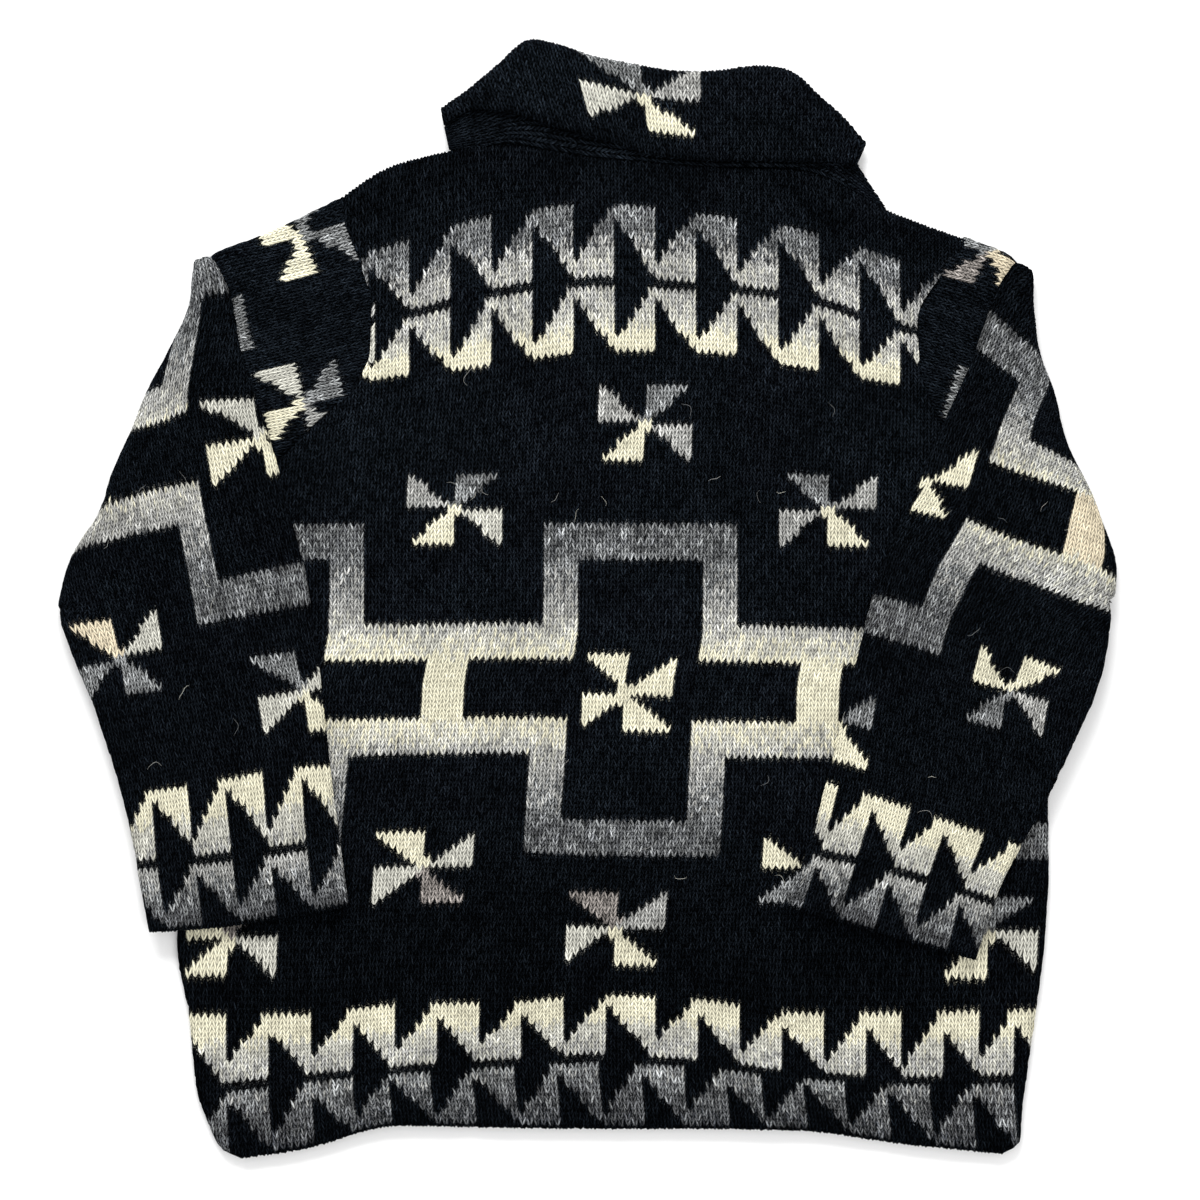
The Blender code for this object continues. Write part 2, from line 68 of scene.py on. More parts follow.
# ---------------------------------------------------------------- tables
STATION_X = (200, 300, 400, 500, 600, 700, 800, 900, 1000)
ROWS = (
    # row    200   300   400   500   600   700   800   900   1000
    (0,    (1162, 1148, 1124, 1126, 1127, 1127, 1129, 1142, 1152)),
    (13,   (1087, 1076, 1068, 1061, 1056, 1061, 1073, 1078, 1077)),
    (26,   (1018, 1017, 1008, 1006, 999, 1003, 1016, 1016, 1014)),
    (37,   (947, 945, 943, 941, 940, 940, 941, 941, 940)),
    (56,   (850, 848, 845, 843, 847, 847, 845, 848, 850)),
    (75,   (752, 752, 751, 749, 752, 754, 754, 753, 752)),
    (100,  (628, 628, 627, 626, 627, 628, 630, 632, 632)),
    (121,  (523, 523, 522, 522, 522, 522, 523, 524, 524)),
    (156,  (392, 387, 373, 361, 348, 349, 364, 381, 390)),
    (169,  (334, 327, 312, 288, 279, 284, 295, 325, 342)),
    (182,  (280, 270, 247, 217, 206, 216, 232, 262, 284)),
    (193,  (262, 224, 162, 145, 158, 166, 171, 215, 250)),
)
SIDES = (
    # row   left  right
    (0,     240,  1003),
    (0.8,   229,  1013),
    (2,     220,  1021),
    (6,     209,  1022),
    (13,    196,  1027),
    (26,    189,  1036),
    (37,    177,  1045),
    (52,    178,  1049),
    (75,    188,  1047),
    (105,   202,  1035),
    (118,   210,  1026),
    (125,   215,  1020),
    (131,   246,  1003),
    (138,   283,  965),
    (146,   313,  940),
    (154,   351,  928),
    (162,   370,  920),
    (171,   371,  918),
    (181,   360,  941),
    (189,   344,  962),
    (193,   341,  968),
)
BANDS = (
    # row   outer_left  opening  outer_right
    (0,     576,        618,     660),
    (40,    574,        616,     658),
    (80,    586,        628,     670),
    (121,   598,        640,     682),
    (138,   584,        643,     704),
    (156,   545,        647,     752),
    (175,   498,        649,     816),
    (193,   450,        650,     888),
    (204,   474,        650,     838),
)
LAPEL_ROW = 204
LAPEL_TOP = (262, 224, 128, 76, 68, 82, 90, 195, 250)
COLLAR = (
    # seam_x seam_y  fold_x fold_y  free_x free_y
    (449,    150,    440,   108,    444,   122),
    (478,    147,    466,   90,     474,   108),
    (510,    143,    497,   64,     512,   112),
    (540,    148,    526,   40,     548,   123),
    (572,    154,    556,   43,     582,   133),
    (605,    158,    592,   55,     612,   141),
    (640,    161,    632,   63,     643,   151),
    (680,    165,    675,   70,     680,   157),
    (720,    167,    716,   70,     717,   159),
    (758,    167,    757,   65,     755,   159),
    (790,    168,    792,   71,     790,   159),
    (815,    166,    822,   97,     820,   160),
    (838,    165,    846,   119,    842,   161),
    (856,    164,    867,   143,    858,   163),
)
SLEEVE_LEFT = (
    # shoulder_x shoulder_y underarm_x underarm_y
    (207,        263,       72,        614),
    (217,        286,       69,        630),
    (232,        322,       71,        646),
    (247,        372,       76,        662),
    (266,        425,       83,        678),
    (284,        490,       95,        706),
    (305,        570,       106,       740),
    (318,        650,       118,       777),
    (326,        730,       128,       815),
    (334,        800,       136,       854),
    (341,        850,       142,       890),
    (346,        886,       148,       920),
)
SLEEVE_RIGHT = (
    (1020,       271,       1105,      602),
    (1004,       298,       1109,      622),
    (985,        333,       1107,      644),
    (966,        375,       1102,      672),
    (943,        425,       1092,      702),
    (913,        490,       1078,      732),
    (884,        560,       1064,      762),
    (866,        620,       1050,      792),
    (850,        690,       1035,      820),
    (832,        760,       1018,      850),
    (815,        825,       999,       887),
    (791,        897,       978,       950),
)
FOLDS = (
    # x    y    turn  long  wide  high
    (870, 215,   32,  130,   26,  2.6),
    (640, 300,    4,  170,   70,  1.2),
    (600, 860,   10,  190,   90,  1.4),
    (640, 560,   80,  170,   80,  1.0),
)

# Middle and width of the body's stitches: row, plan x of the middle, plan
# units for each stitch.
WALES = (
    (0, 618, 7.04), (13, 613, 7.04), (26, 613, 7.04), (37, 615, 7.04),
    (56, 622, 7.04), (75, 628, 6.98), (88, 631, 6.95), (100, 640, 6.93),
    (121, 641, 6.93), (141, 645, 6.88), (156, 648, 6.83), (193, 648, 6.83),
)

# The folded half of each sleeve that shows: row, then the plan point of that
# row at six stitches, counted from the middle of the sleeve's front motif
# towards the underarm edge.
STITCH_KEYS = (-4, 0, 9, 14, 27, 40)
TOP_LEFT = (
    (0,     (352, 904), (327, 908), (272, 917), (241, 922), (161, 929), (81, 931)),
    (13.5,  (343, 834), (319, 838), (263, 846), (232, 850), (151, 858), (71, 864)),
    (27,    (337, 763), (313, 764), (256, 771), (224, 777), (145, 790), (66, 802)),
    (42,    (329, 684), (303, 688), (245, 698), (211, 704), (130, 716), (52, 730)),
    (54.5,  (314, 620), (290, 625), (232, 634), (201, 640), (120, 655), (42, 672)),
    (62,    (308, 576), (284, 580), (222, 593), (194, 600), (112, 618), (36, 638)),
    (72,    (297, 525), (273, 531), (212, 547), (185, 552), (106, 573), (30, 598)),
    (81.5,  (288, 482), (264, 487), (202, 498), (175, 503), (100, 524), (35, 550)),
    (91.5,  (278, 430), (254, 434), (193, 443), (165, 449), (98, 466), (35, 488)),
    (98,    (273, 399), (249, 402), (187, 407), (160, 418), (98, 432), (40, 450)),
    (103.5, (275, 374), (250, 376), (187, 380), (160, 391), (100, 405), (42, 422)),
    (118.5, (281, 287), (253, 288), (191, 291), (165, 300), (102, 315), (44, 332)),
    (124.5, (283, 257), (255, 258), (193, 260), (167, 269), (104, 284), (46, 300)),
    (150,   (288, 130), (260, 131), (198, 133), (172, 142), (109, 157), (51, 174)),
)
TOP_RIGHT = (
    (0,     (771, 900), (795, 907), (850, 922), (880, 931), (959, 953), (1038, 975)),
    (13.5,  (791, 839), (815, 846), (869, 858), (899, 866), (975, 890), (1050, 915)),
    (27,    (808, 775), (832, 782), (887, 798), (916, 808), (996, 835), (1075, 862)),
    (40,    (817, 711), (841, 718), (896, 733), (926, 741), (1003, 764), (1080, 787)),
    (55,    (830, 634), (854, 642), (908, 658), (937, 667), (1013, 689), (1090, 712)),
    (62,    (846, 602), (870, 608), (917, 621), (946, 631), (1023, 659), (1100, 687)),
    (72,    (862, 551), (886, 557), (936, 571), (966, 586), (1042, 614), (1118, 642)),
    (81.5,  (881, 510), (905, 517), (959, 531), (989, 545), (1070, 577), (1150, 610)),
    (91.5,  (903, 473), (927, 479), (979, 491), (1008, 501), (1083, 527), (1158, 560)),
    (97.5,  (912, 441), (936, 447), (988, 461), (1019, 471), (1092, 498), (1165, 530)),
    (103.5, (925, 411), (948, 417), (1000, 431), (1033, 443), (1108, 480), (1180, 515)),
    (118.5, (957, 333), (980, 343), (1031, 375), (1055, 390), (1118, 432), (1180, 475)),
    (124.5, (973, 305), (996, 315), (1049, 347), (1072, 362), (1135, 404), (1197, 447)),
    (150,   (1041, 186), (1064, 196), (1117, 228), (1140, 243), (1203, 285), (1265, 328)),
)

# How far in from straight the sleeves' folded edges run: y, left, right.
BEND = (
    (262, 0, 0), (280, 5, 1.2), (300, 11.7, 7.3), (320, 12.0, 10.5), (340, 9.5, 13.4),
    (360, 7.2, 13.4), (380, 4.0, 10.5), (400, 2.2, 9.6), (420, 2.4, 10.8), (440, 1.4, 10.0),
    (460, -0.4, 6.4), (480, -0.6, 1.0), (500, 1.6, -2.8), (520, 0.2, -4.6), (540, -5.4, -7.0),
    (560, -9.0, -8.4), (580, -8.2, -4.2), (600, -5.0, 2.4), (620, -1.5, 1.5), (640, 0, 0),
)

# Creases and swells of the cloth: piece, start, end, half width and height
# in mm (below zero for a trough).
CREASES = (
    # piece   x0   y0    x1    y1   wide  high
    ("body",  345, 418,  425,  384,  16,  1.5),
    ("body",  352, 398,  440,  366,  13, -1.3),
    ("body",  590, 560,  598,  720,  15,  1.3),
    ("body",  612, 570,  618,  700,  12, -0.9),
    ("body",  468, 778,  520,  818,  10, -1.0),
    ("body",  520, 818,  565,  832,  10, -0.9),
    ("body",  575, 812,  592,  778,   8,  0.8),
    ("body",  630, 790,  655,  812,   8, -0.8),
    ("body",  612, 929,  652,  971,   5, -1.3),
    ("body",  622, 924,  662,  964,   6,  1.0),
    ("body",  663, 974,  706,  996,   6,  1.0),
    ("body",  781, 168,  892,  220,  10,  4.6),
    ("body",  775, 188,  950,  266,  11, -3.2),
    ("body",  840, 214,  960,  290,  12,  1.8),
    ("body",  300, 1085, 420,  1100, 20,  1.0),
    ("body",  430, 1030, 470,  1120, 16, -0.8),
    ("body",  700, 1080, 760,  1120, 18,  0.8),
    ("body",  850, 1060, 880,  1130, 16, -0.9),
    ("body",  900, 1000, 1010, 985,  22,  1.1),
    ("body",  420, 480,  470,  560,  22, -0.8),
    ("body",  700, 380,  830,  430,  24,  0.9),
    ("body",  640, 205,  520,  190,  20, -1.0),
    ("frontl", 300, 900, 520,  860,  16,  1.4),
    ("frontl", 250, 560, 480,  600,  20,  1.0),
    ("frontl", 420, 380, 560,  300,  16,  1.3),
    ("frontl", 330, 1060, 520, 1090, 18,  1.0),
    ("frontr", 720, 900, 960,  940,  18,  1.2),
    ("frontr", 700, 520, 960,  470,  20,  1.1),
    ("frontr", 740, 330, 860,  400,  14,  1.3),
    ("frontr", 800, 1050, 900, 1110, 16,  0.9),
    ("left",  215, 300,  236,  420,   9,  1.2),
    ("left",  190, 300,  200,  430,   8, -0.9),
    ("left",  120, 560,  290,  520,  14,  0.8),
    ("left",  110, 700,  300,  720,  18, -0.7),
    ("left",  200, 640,  300,  655,  14,  0.7),
    ("left",  140, 880,  330,  862,  10,  0.8),
    ("right", 1040, 380, 1000, 470,  10, -0.8),
    ("right", 1000, 360, 960,  450,  12,  0.8),
    ("right", 930, 690,  1040, 740,  18,  0.9),
    ("right", 900, 760,  1020, 790,  16, -0.7),
    ("right", 820, 880,  960,  925,  10,  0.8),
    ("capl",  215, 262,  330,  262,   9, -2.8),
    ("capl",  225, 288,  330,  285,  14,  1.4),
    ("capl",  215, 246,  300,  222,   8,  0.8),
    ("capl",  250, 372,  300,  345,  14,  0.7),
    ("capr",  925, 296,  1005, 306,  10, -3.2),
    ("capr",  960, 318,  1000, 330,  12,  1.6),
    ("capr",  940, 262,  1000, 262,   9,  0.8),
)

# ---------------------------------------------------------------- colours
TONES = {
    # name    colour                    stitch to stitch   flecks and painted shade within a stitch
    "ink":   ((0.0033, 0.0045, 0.0062), 0.14, 1.60),
    "dark":  ((0.029, 0.031, 0.035),    0.40, 1.20),
    "mid":   ((0.078, 0.081, 0.085),    0.36, 1.15),
    "grey":  ((0.165, 0.171, 0.173),    0.32, 1.05),
    "light": ((0.335, 0.335, 0.320),    0.20, 0.75),
    "white": ((0.500, 0.494, 0.436),    0.14, 0.48),
    "cream": ((0.700, 0.668, 0.508),    0.09, 0.32),
    "beige": ((0.640, 0.560, 0.410),    0.10, 0.36),
    "pink":  ((0.215, 0.196, 0.182),    0.28, 0.90),
}
TONE_NAMES = list(TONES)
TONE_RGB = np.array([TONES[n][0] for n in TONE_NAMES])
TONE_MOTTLE = np.array([TONES[n][1] for n in TONE_NAMES])
TONE_FLECK_AND_SHADE = np.array([TONES[n][2] for n in TONE_NAMES])
INK = TONE_NAMES.index("ink")


def tone(name):
    return TONE_NAMES.index(name)


# ---------------------------------------------------------------- curves
def _slopes(k, v, keep):
    step = np.diff(k).reshape((-1,) + (1,) * (v.ndim - 1))
    d = np.diff(v, axis=0) / step
    m = np.empty_like(v)
    m[0], m[-1] = d[0], d[-1]
    a, b = d[:-1], d[1:]
    if keep:
        with np.errstate(divide="ignore", invalid="ignore"):
            m[1:-1] = np.where(a * b > 0, 2 * a * b / (a + b), 0.0)
    else:
        ha, hb = step[:-1], step[1:]
        m[1:-1] = (a * hb + b * ha) / (ha + hb)
    return m


def _curve(k, v, m, x, column=None):
    i = np.clip(np.searchsorted(k, x) - 1, 0, len(k) - 2)
    h = k[i + 1] - k[i]
    t = (x - k[i]) / h
    if column is None:
        a, b, ma, mb, first, last, mf, ml = (v[i], v[i + 1], m[i], m[i + 1],
                                             v[0], v[-1], m[0], m[-1])
    else:
        a, b, ma, mb = v[i, column], v[i + 1, column], m[i, column], m[i + 1, column]
        first, last, mf, ml = v[0, column], v[-1, column], m[0, column], m[-1, column]
    y = ((1 + 2 * t) * (1 - t) ** 2 * a + t * (1 - t) ** 2 * h * ma
         + t * t * (3 - 2 * t) * b + t * t * (t - 1) * h * mb)
    y = np.where(x <= k[0], first + mf * (x - k[0]), y)
    return np.where(x >= k[-1], last + ml * (x - k[-1]), y)


def smooth(keys, values, keep=True):
    k, v = np.asarray(keys, float), np.asarray(values, float)
    m = _slopes(k, v, keep)
    return lambda x: _curve(k, v, m, np.asarray(x, float))


ROW_KEYS = np.array([r[0] for r in ROWS], float)
ROW_CURVES = [smooth(STATION_X, r[1]) for r in ROWS]
TOP_CURVE = smooth(STATION_X, LAPEL_TOP)
SIDE_LEFT = smooth([s[0] for s in SIDES], [s[1] for s in SIDES])
SIDE_RIGHT = smooth([s[0] for s in SIDES], [s[2] for s in SIDES])
BAND_LEFT = smooth([b[0] for b in BANDS], [b[1] for b in BANDS])
OPENING = smooth([b[0] for b in BANDS], [b[2] for b in BANDS])
BAND_RIGHT = smooth([b[0] for b in BANDS], [b[3] for b in BANDS])
WALE_MID = smooth([w[0] for w in WALES], [w[1] for w in WALES])
WALE_WIDE = smooth([w[0] for w in WALES], [w[2] for w in WALES])


def row_y(x, row):
    """Plan y of knitted rows at plan x."""
    x, row = np.broadcast_arrays(np.asarray(x, float), np.asarray(row, float))
    flat_x, flat_row = x.ravel(), row.ravel()
    v = np.stack([c(flat_x) for c in ROW_CURVES])
    m = _slopes(ROW_KEYS, v, True)
    y = _curve(ROW_KEYS, v, m, np.minimum(flat_row, TOP_ROW), np.arange(len(flat_x)))
    t = np.clip((flat_row - TOP_ROW) / (LAPEL_ROW - TOP_ROW), 0, 1.5)
    y = y * (1 - t) + TOP_CURVE(flat_x) * t
    return y.reshape(x.shape)


def ramp(x, a, b):
    return np.clip((x - a) / (b - a), 0, 1)


def soft(t):
    t = np.clip(t, 0, 1)
    return t * t * (3 - 2 * t)


def lift(x, y):
    total = 0.0
    for fx, fy, turn, long_, wide, high in FOLDS:
        a = math.radians(turn)
        dx, dy = x - fx, y - fy
        s = (dx * math.cos(a) + dy * math.sin(a)) / long_
        w = (-dx * math.sin(a) + dy * math.cos(a)) / wide
        total = total + high * np.exp(-1.4 * (s * s + w * w))
    inner = ramp(x, 372, 462) * ramp(-x, -930, -860)
    ends = ramp(y, 176, 216) * ramp(-y, -1080, -1020)
    return total * inner * ends


def creases(piece, x, y):
    """Height of the listed creases, with soft ends."""
    total = np.zeros_like(x)
    for name, x0, y0, x1, y1, wide, high in CREASES:
        if name != piece:
            continue
        dx, dy = x1 - x0, y1 - y0
        size = math.hypot(dx, dy)
        along = ((x - x0) * dx + (y - y0) * dy) / size
        across = (-(x - x0) * dy + (y - y0) * dx) / size
        bend = 0.10 * size * np.sin(np.clip(along / size, 0, 1) * math.pi)
        past = np.maximum(0, np.maximum(-along, along - size))
        total += high * np.exp(-((across - bend) / wide) ** 2 - (past / (0.22 * size + wide)) ** 2)
    return total


def bumps(x, y, size, seed, octaves=2):
    """Smooth noise over the plan, between about -1 and 1."""
    total, scale = np.zeros_like(x, dtype=float), 1.0
    for o in range(octaves):
        rng = np.random.default_rng(seed * 17 + o)
        grid = rng.uniform(-1, 1, (96, 96))
        u, v = x / size * 2 ** o + 7.3, y / size * 2 ** o + 3.1
        i, j = np.floor(u).astype(int), np.floor(v).astype(int)
        fu, fv = soft(u - i), soft(v - j)
        i, j = i % 96, j % 96
        i2, j2 = (i + 1) % 96, (j + 1) % 96
        total += scale * ((grid[i, j] * (1 - fu) + grid[i2, j] * fu) * (1 - fv)
                          + (grid[i, j2] * (1 - fu) + grid[i2, j2] * fu) * fv)
        scale *= 0.5
    return total / 1.4


def world(x, y, z):
    return np.stack([(x - PLAN_X) * UNIT, (PLAN_Y - y) * UNIT, z * 0.001], -1)


def roll_in(s, radius=HALF):
    """Inset and height at s mm along a cloth that turns over an edge."""
    a = np.clip(s / radius, -0.6, math.pi / 2)
    inset = np.where(s < radius * math.pi / 2, radius * (1 - np.cos(a)),
                     s - radius * (math.pi / 2 - 1))
    return inset, radius * np.sin(a)


EXTRA = HALF * (math.pi / 2 - 1)      # mm of cloth that an edge's turn takes up


def hem_turn(v, radius=2.0):
    """Rows out and mm down for rows past an edge that is turned under."""
    s = np.maximum(0, -v) * ROW
    a = np.minimum(s / radius, math.pi)
    out = radius * np.sin(a) - np.maximum(0, s - radius * math.pi)
    return out, radius * (1 - np.cos(a))


# ---------------------------------------------------------------- charts
def band_rows(c, v, low, high, start, period=12.0, up=1.75, down=1.75):
    """True where the sawtooth of a band of rows is light."""
    f = np.mod((c - start) / period, 1.0)
    g = (v - low) / (high - low)
    dark = np.where(f < 0.5, g < 0.86 - down * f, g > 0.14 + up * (f - 0.5))
    return (g >= 0) & (g <= 1) & ~dark


def pinwheel(out, c, v, c0, v0, kind, tones, half=6.7, high=7.5):
    """Four blades about a point: top, bottom, left and right tones."""
    dx, dy = c - c0, v - v0
    inside = (np.abs(dx) <= half) & (np.abs(dy) <= high)
    if kind == "B":
        dx = -dx
    steep = np.abs(dy) * half >= np.abs(dx) * high
    upright = inside & (dx * dy > 0) & steep
    level = inside & (dx * dy < 0) & ~steep
    side = (c - c0) < 0
    top, bottom, left, right = (tone(t) for t in tones)
    core = (np.abs(dx) < 1.0) & (np.abs(dy) < 2.0)
    out[core & (dy > 0)] = top
    out[core & (dy <= 0)] = bottom
    out[upright & (dy > 0)] = top
    out[upright & (dy < 0)] = bottom
    out[level & side] = left
    out[level & ~side] = right


def cross_frame(c, v, middle):
    """True on the outline of the crosses that stand side by side."""
    d = v - middle
    a = np.abs(np.mod(c + 27, 54) - 27)
    e = np.abs(d)
    arms = (a >= 9) & (a <= 14) & (e >= 6.5) & (e <= 33)
    ends = (a <= 14) & (e >= 26.5) & (e <= 33)
    level = (a >= 9) & (e >= 6.5) & (e <= 13)
    posts = (np.abs(a - 27) <= 2.5) & (e <= 13)
    return arms | ends | level | posts


def frame_tones(out, c, v, middle, rng, greyer=0.0, post="cream"):
    """Cream at the middle of the crosses, greyer away from it."""
    light = cross_frame(c, v, middle)
    e = np.abs(v - middle)
    e = e + rng.normal(0, 0.9, c.shape) + greyer * (e > 6.4)
    picked = np.select([e <= 6.8, e <= 11, e <= 18, e <= 26],
                       [tone(post), tone("white"), tone("light"), tone("grey")], tone("grey"))
    draw = rng.random(c.shape)
    picked = np.where((e > 6.8) & (e <= 11) & (draw < 0.35), tone("cream"), picked)
    picked = np.where((e > 11) & (e <= 15) & (draw < 0.35), tone("white"), picked)
    picked = np.where((e > 18) & (e <= 24) & (draw < 0.40), tone("light"), picked)
    picked = np.where((e > 26) & (draw < 0.50), tone("mid"), picked)
    out[light] = picked[light]


def body_chart(c, v, rng):
    out = np.full(c.shape, INK)
    frame_tones(out, c, v, 88.0, rng)
    # band at the hem
    shade = v + rng.normal(0, 0.8, c.shape)
    draw = rng.random(c.shape)
    lower = band_rows(c + np.interp(c, (-60, -45, -20, 0, 20, 60), (0.4, 1.3, 1.7, 2.0, 2.6, 2.9)),
                      v, 1, 12.4, 6)
    picked = np.select([shade > 9, shade > 4], [tone("grey"), tone("mid")], tone("dark"))
    picked = np.where((shade > 8) & (draw < 0.15), tone("light"), picked)
    picked = np.where((shade > 4) & (shade <= 9) & (draw < 0.28), tone("grey"), picked)
    picked = np.where((shade <= 4) & (draw < 0.55), tone("mid"), picked)
    out[lower] = picked[lower]
    upper = band_rows(c + np.interp(c, (-60, -8, 5, 27, 42, 52, 60), (1.5, 1.3, 0.5, 0, 0.7, 2.4, 3.7)),
                      v, 14.4, 27, 0)
    picked = np.select([shade > 21.5, shade > 18], [tone("cream"), tone("white")], tone("light"))
    picked = np.where((shade <= 18) & (draw < 0.35), tone("white"), picked)
    out[upper] = picked[upper]
    # band at the yoke
    lower = band_rows(c, v, 156, 168.4, 1)
    out[lower] = np.select([shade <= 160.5, shade <= 163.5], [tone("cream"), tone("white")],
                           tone("light"))[lower]
    out[lower & (v > 163) & (rng.random(c.shape) < 0.3)] = tone("white")
    upper = band_rows(c, v, 170.4, 183, -5)
    out[upper] = np.where(shade > 177, tone("grey"), tone("light"))[upper]
    out[upper & (v > 175) & (rng.random(c.shape) < 0.35)] = tone("mid")
    out[upper & (v < 174) & (rng.random(c.shape) < 0.3)] = tone("white")
    out[(np.abs(c + 40.5) < 0.6) & (v > 160) & (v < 168.5)] = tone("white")
    out[(np.abs(c + 40.5) < 0.6) & (v > 170) & (v < 172)] = tone("light")
    # pinwheels: top, bottom, left, right
    for c0, v0, kind, tones in (
        (0, 141.5, "A", ("grey", "cream", "light", "light")),
        (-27, 124.5, "A", ("grey", "cream", "light", "white")),
        (27, 124.5, "B", ("grey", "cream", "light", "light")),
        (-0.6, 87.4, "B", ("cream", "cream", "cream", "cream")),
        (-54.6, 87.4, "A", ("cream", "cream", "cream", "cream")),
        (53.4, 87.4, "B", ("cream", "cream", "cream", "cream")),
        (-27.9, 51.8, "B", ("cream", "pink", "white", "white")),
        (26.5, 51.8, "A", ("cream", "grey", "cream", "light")),
        (-0.2, 40.0, "B", ("pink", "cream", "white", "light")),
        (-54.7, 39.4, "A", ("pink", "cream", "cream", "white")),
        (53.2, 39.2, "A", ("grey", "cream", "light", "white")),
    ):
        pinwheel(out, c, v, c0, v0, kind, tones, high=6.8 if v0 < 60 else 7.5)
    return out


def sleeve_chart(side):
    if side < 0:
        wheels = ((0, 42, "A", ("grey", "cream", "white", "white")),
                  (27, 54.5, "A", ("beige", "grey", "grey", "white")),
                  (-1.3, 91.4, "A", ("white", "cream", "cream", "cream"), 8.4),
                  (27, 141, "A", ("light", "cream", "cream", "grey")))
        upper0, lower0 = 13.7, 8.0
    else:
        wheels = ((-0.6, 40, "B", ("light", "cream", "cream", "grey"), 6.0),
                  (26.5, 55, "A", ("cream", "grey", "cream", "light")),
                  (0, 91.5, "B", ("ink", "cream", "ink", "cream")),
                  (27, 141, "A", ("light", "cream", "cream", "grey")))
        upper0, lower0 = 6.8, 1.0

    def chart(c, v, rng):
        out = np.full(c.shape, INK)
        frame_tones(out, c, v, 91.5, rng, greyer=4.0 if side < 0 else 2.5,
                    post="ink" if side < 0 else "beige")
        sign = -1 if side < 0 else 1
        shade = v + rng.normal(0, 0.8, c.shape)
        draw = rng.random(c.shape)
        lower = band_rows(sign * c, v, 1.2, 12.4, sign * lower0)
        picked = np.select([shade > 9.5, shade > 4], [tone("light"), tone("grey")], tone("mid"))
        picked = np.where((shade > 4) & (shade <= 9.5) & (draw < 0.3), tone("light"), picked)
        picked = np.where((shade <= 7) & (draw < 0.3), tone("mid"), picked)
        out[lower] = picked[lower]
        upper = band_rows(sign * c, v, 14.4, 27, sign * upper0, up=2.1, down=1.6)
        picked = np.select([shade > 20.5, shade > 16.5], [tone("cream"), tone("white")], tone("light"))
        picked = np.where((shade <= 16.5) & (draw < 0.5), tone("white"), picked)
        out[upper] = picked[upper]
        for c0, v0, kind, tones, *size in wheels:
            size = size[0] if size else 6.7
            if side < 0:
                # stitches count towards the left here
                mirrored = {"A": "B", "B": "A"}[kind]
                pinwheel(out, -c, v, -c0, v0, mirrored, tones, half=size)
            else:
                pinwheel(out, c, v, c0, v0, kind, tones, half=size)
        return out
    return chart


# ---------------------------------------------------------------- shells
def lean(c):
    """Rows by which the knitting hangs lower across a stitch."""
    return LEAN * (1 - np.abs(2 * np.mod(c, 1.0) - 1))


RIB = np.array([-0.85, 0.45, -0.45, 0.45])


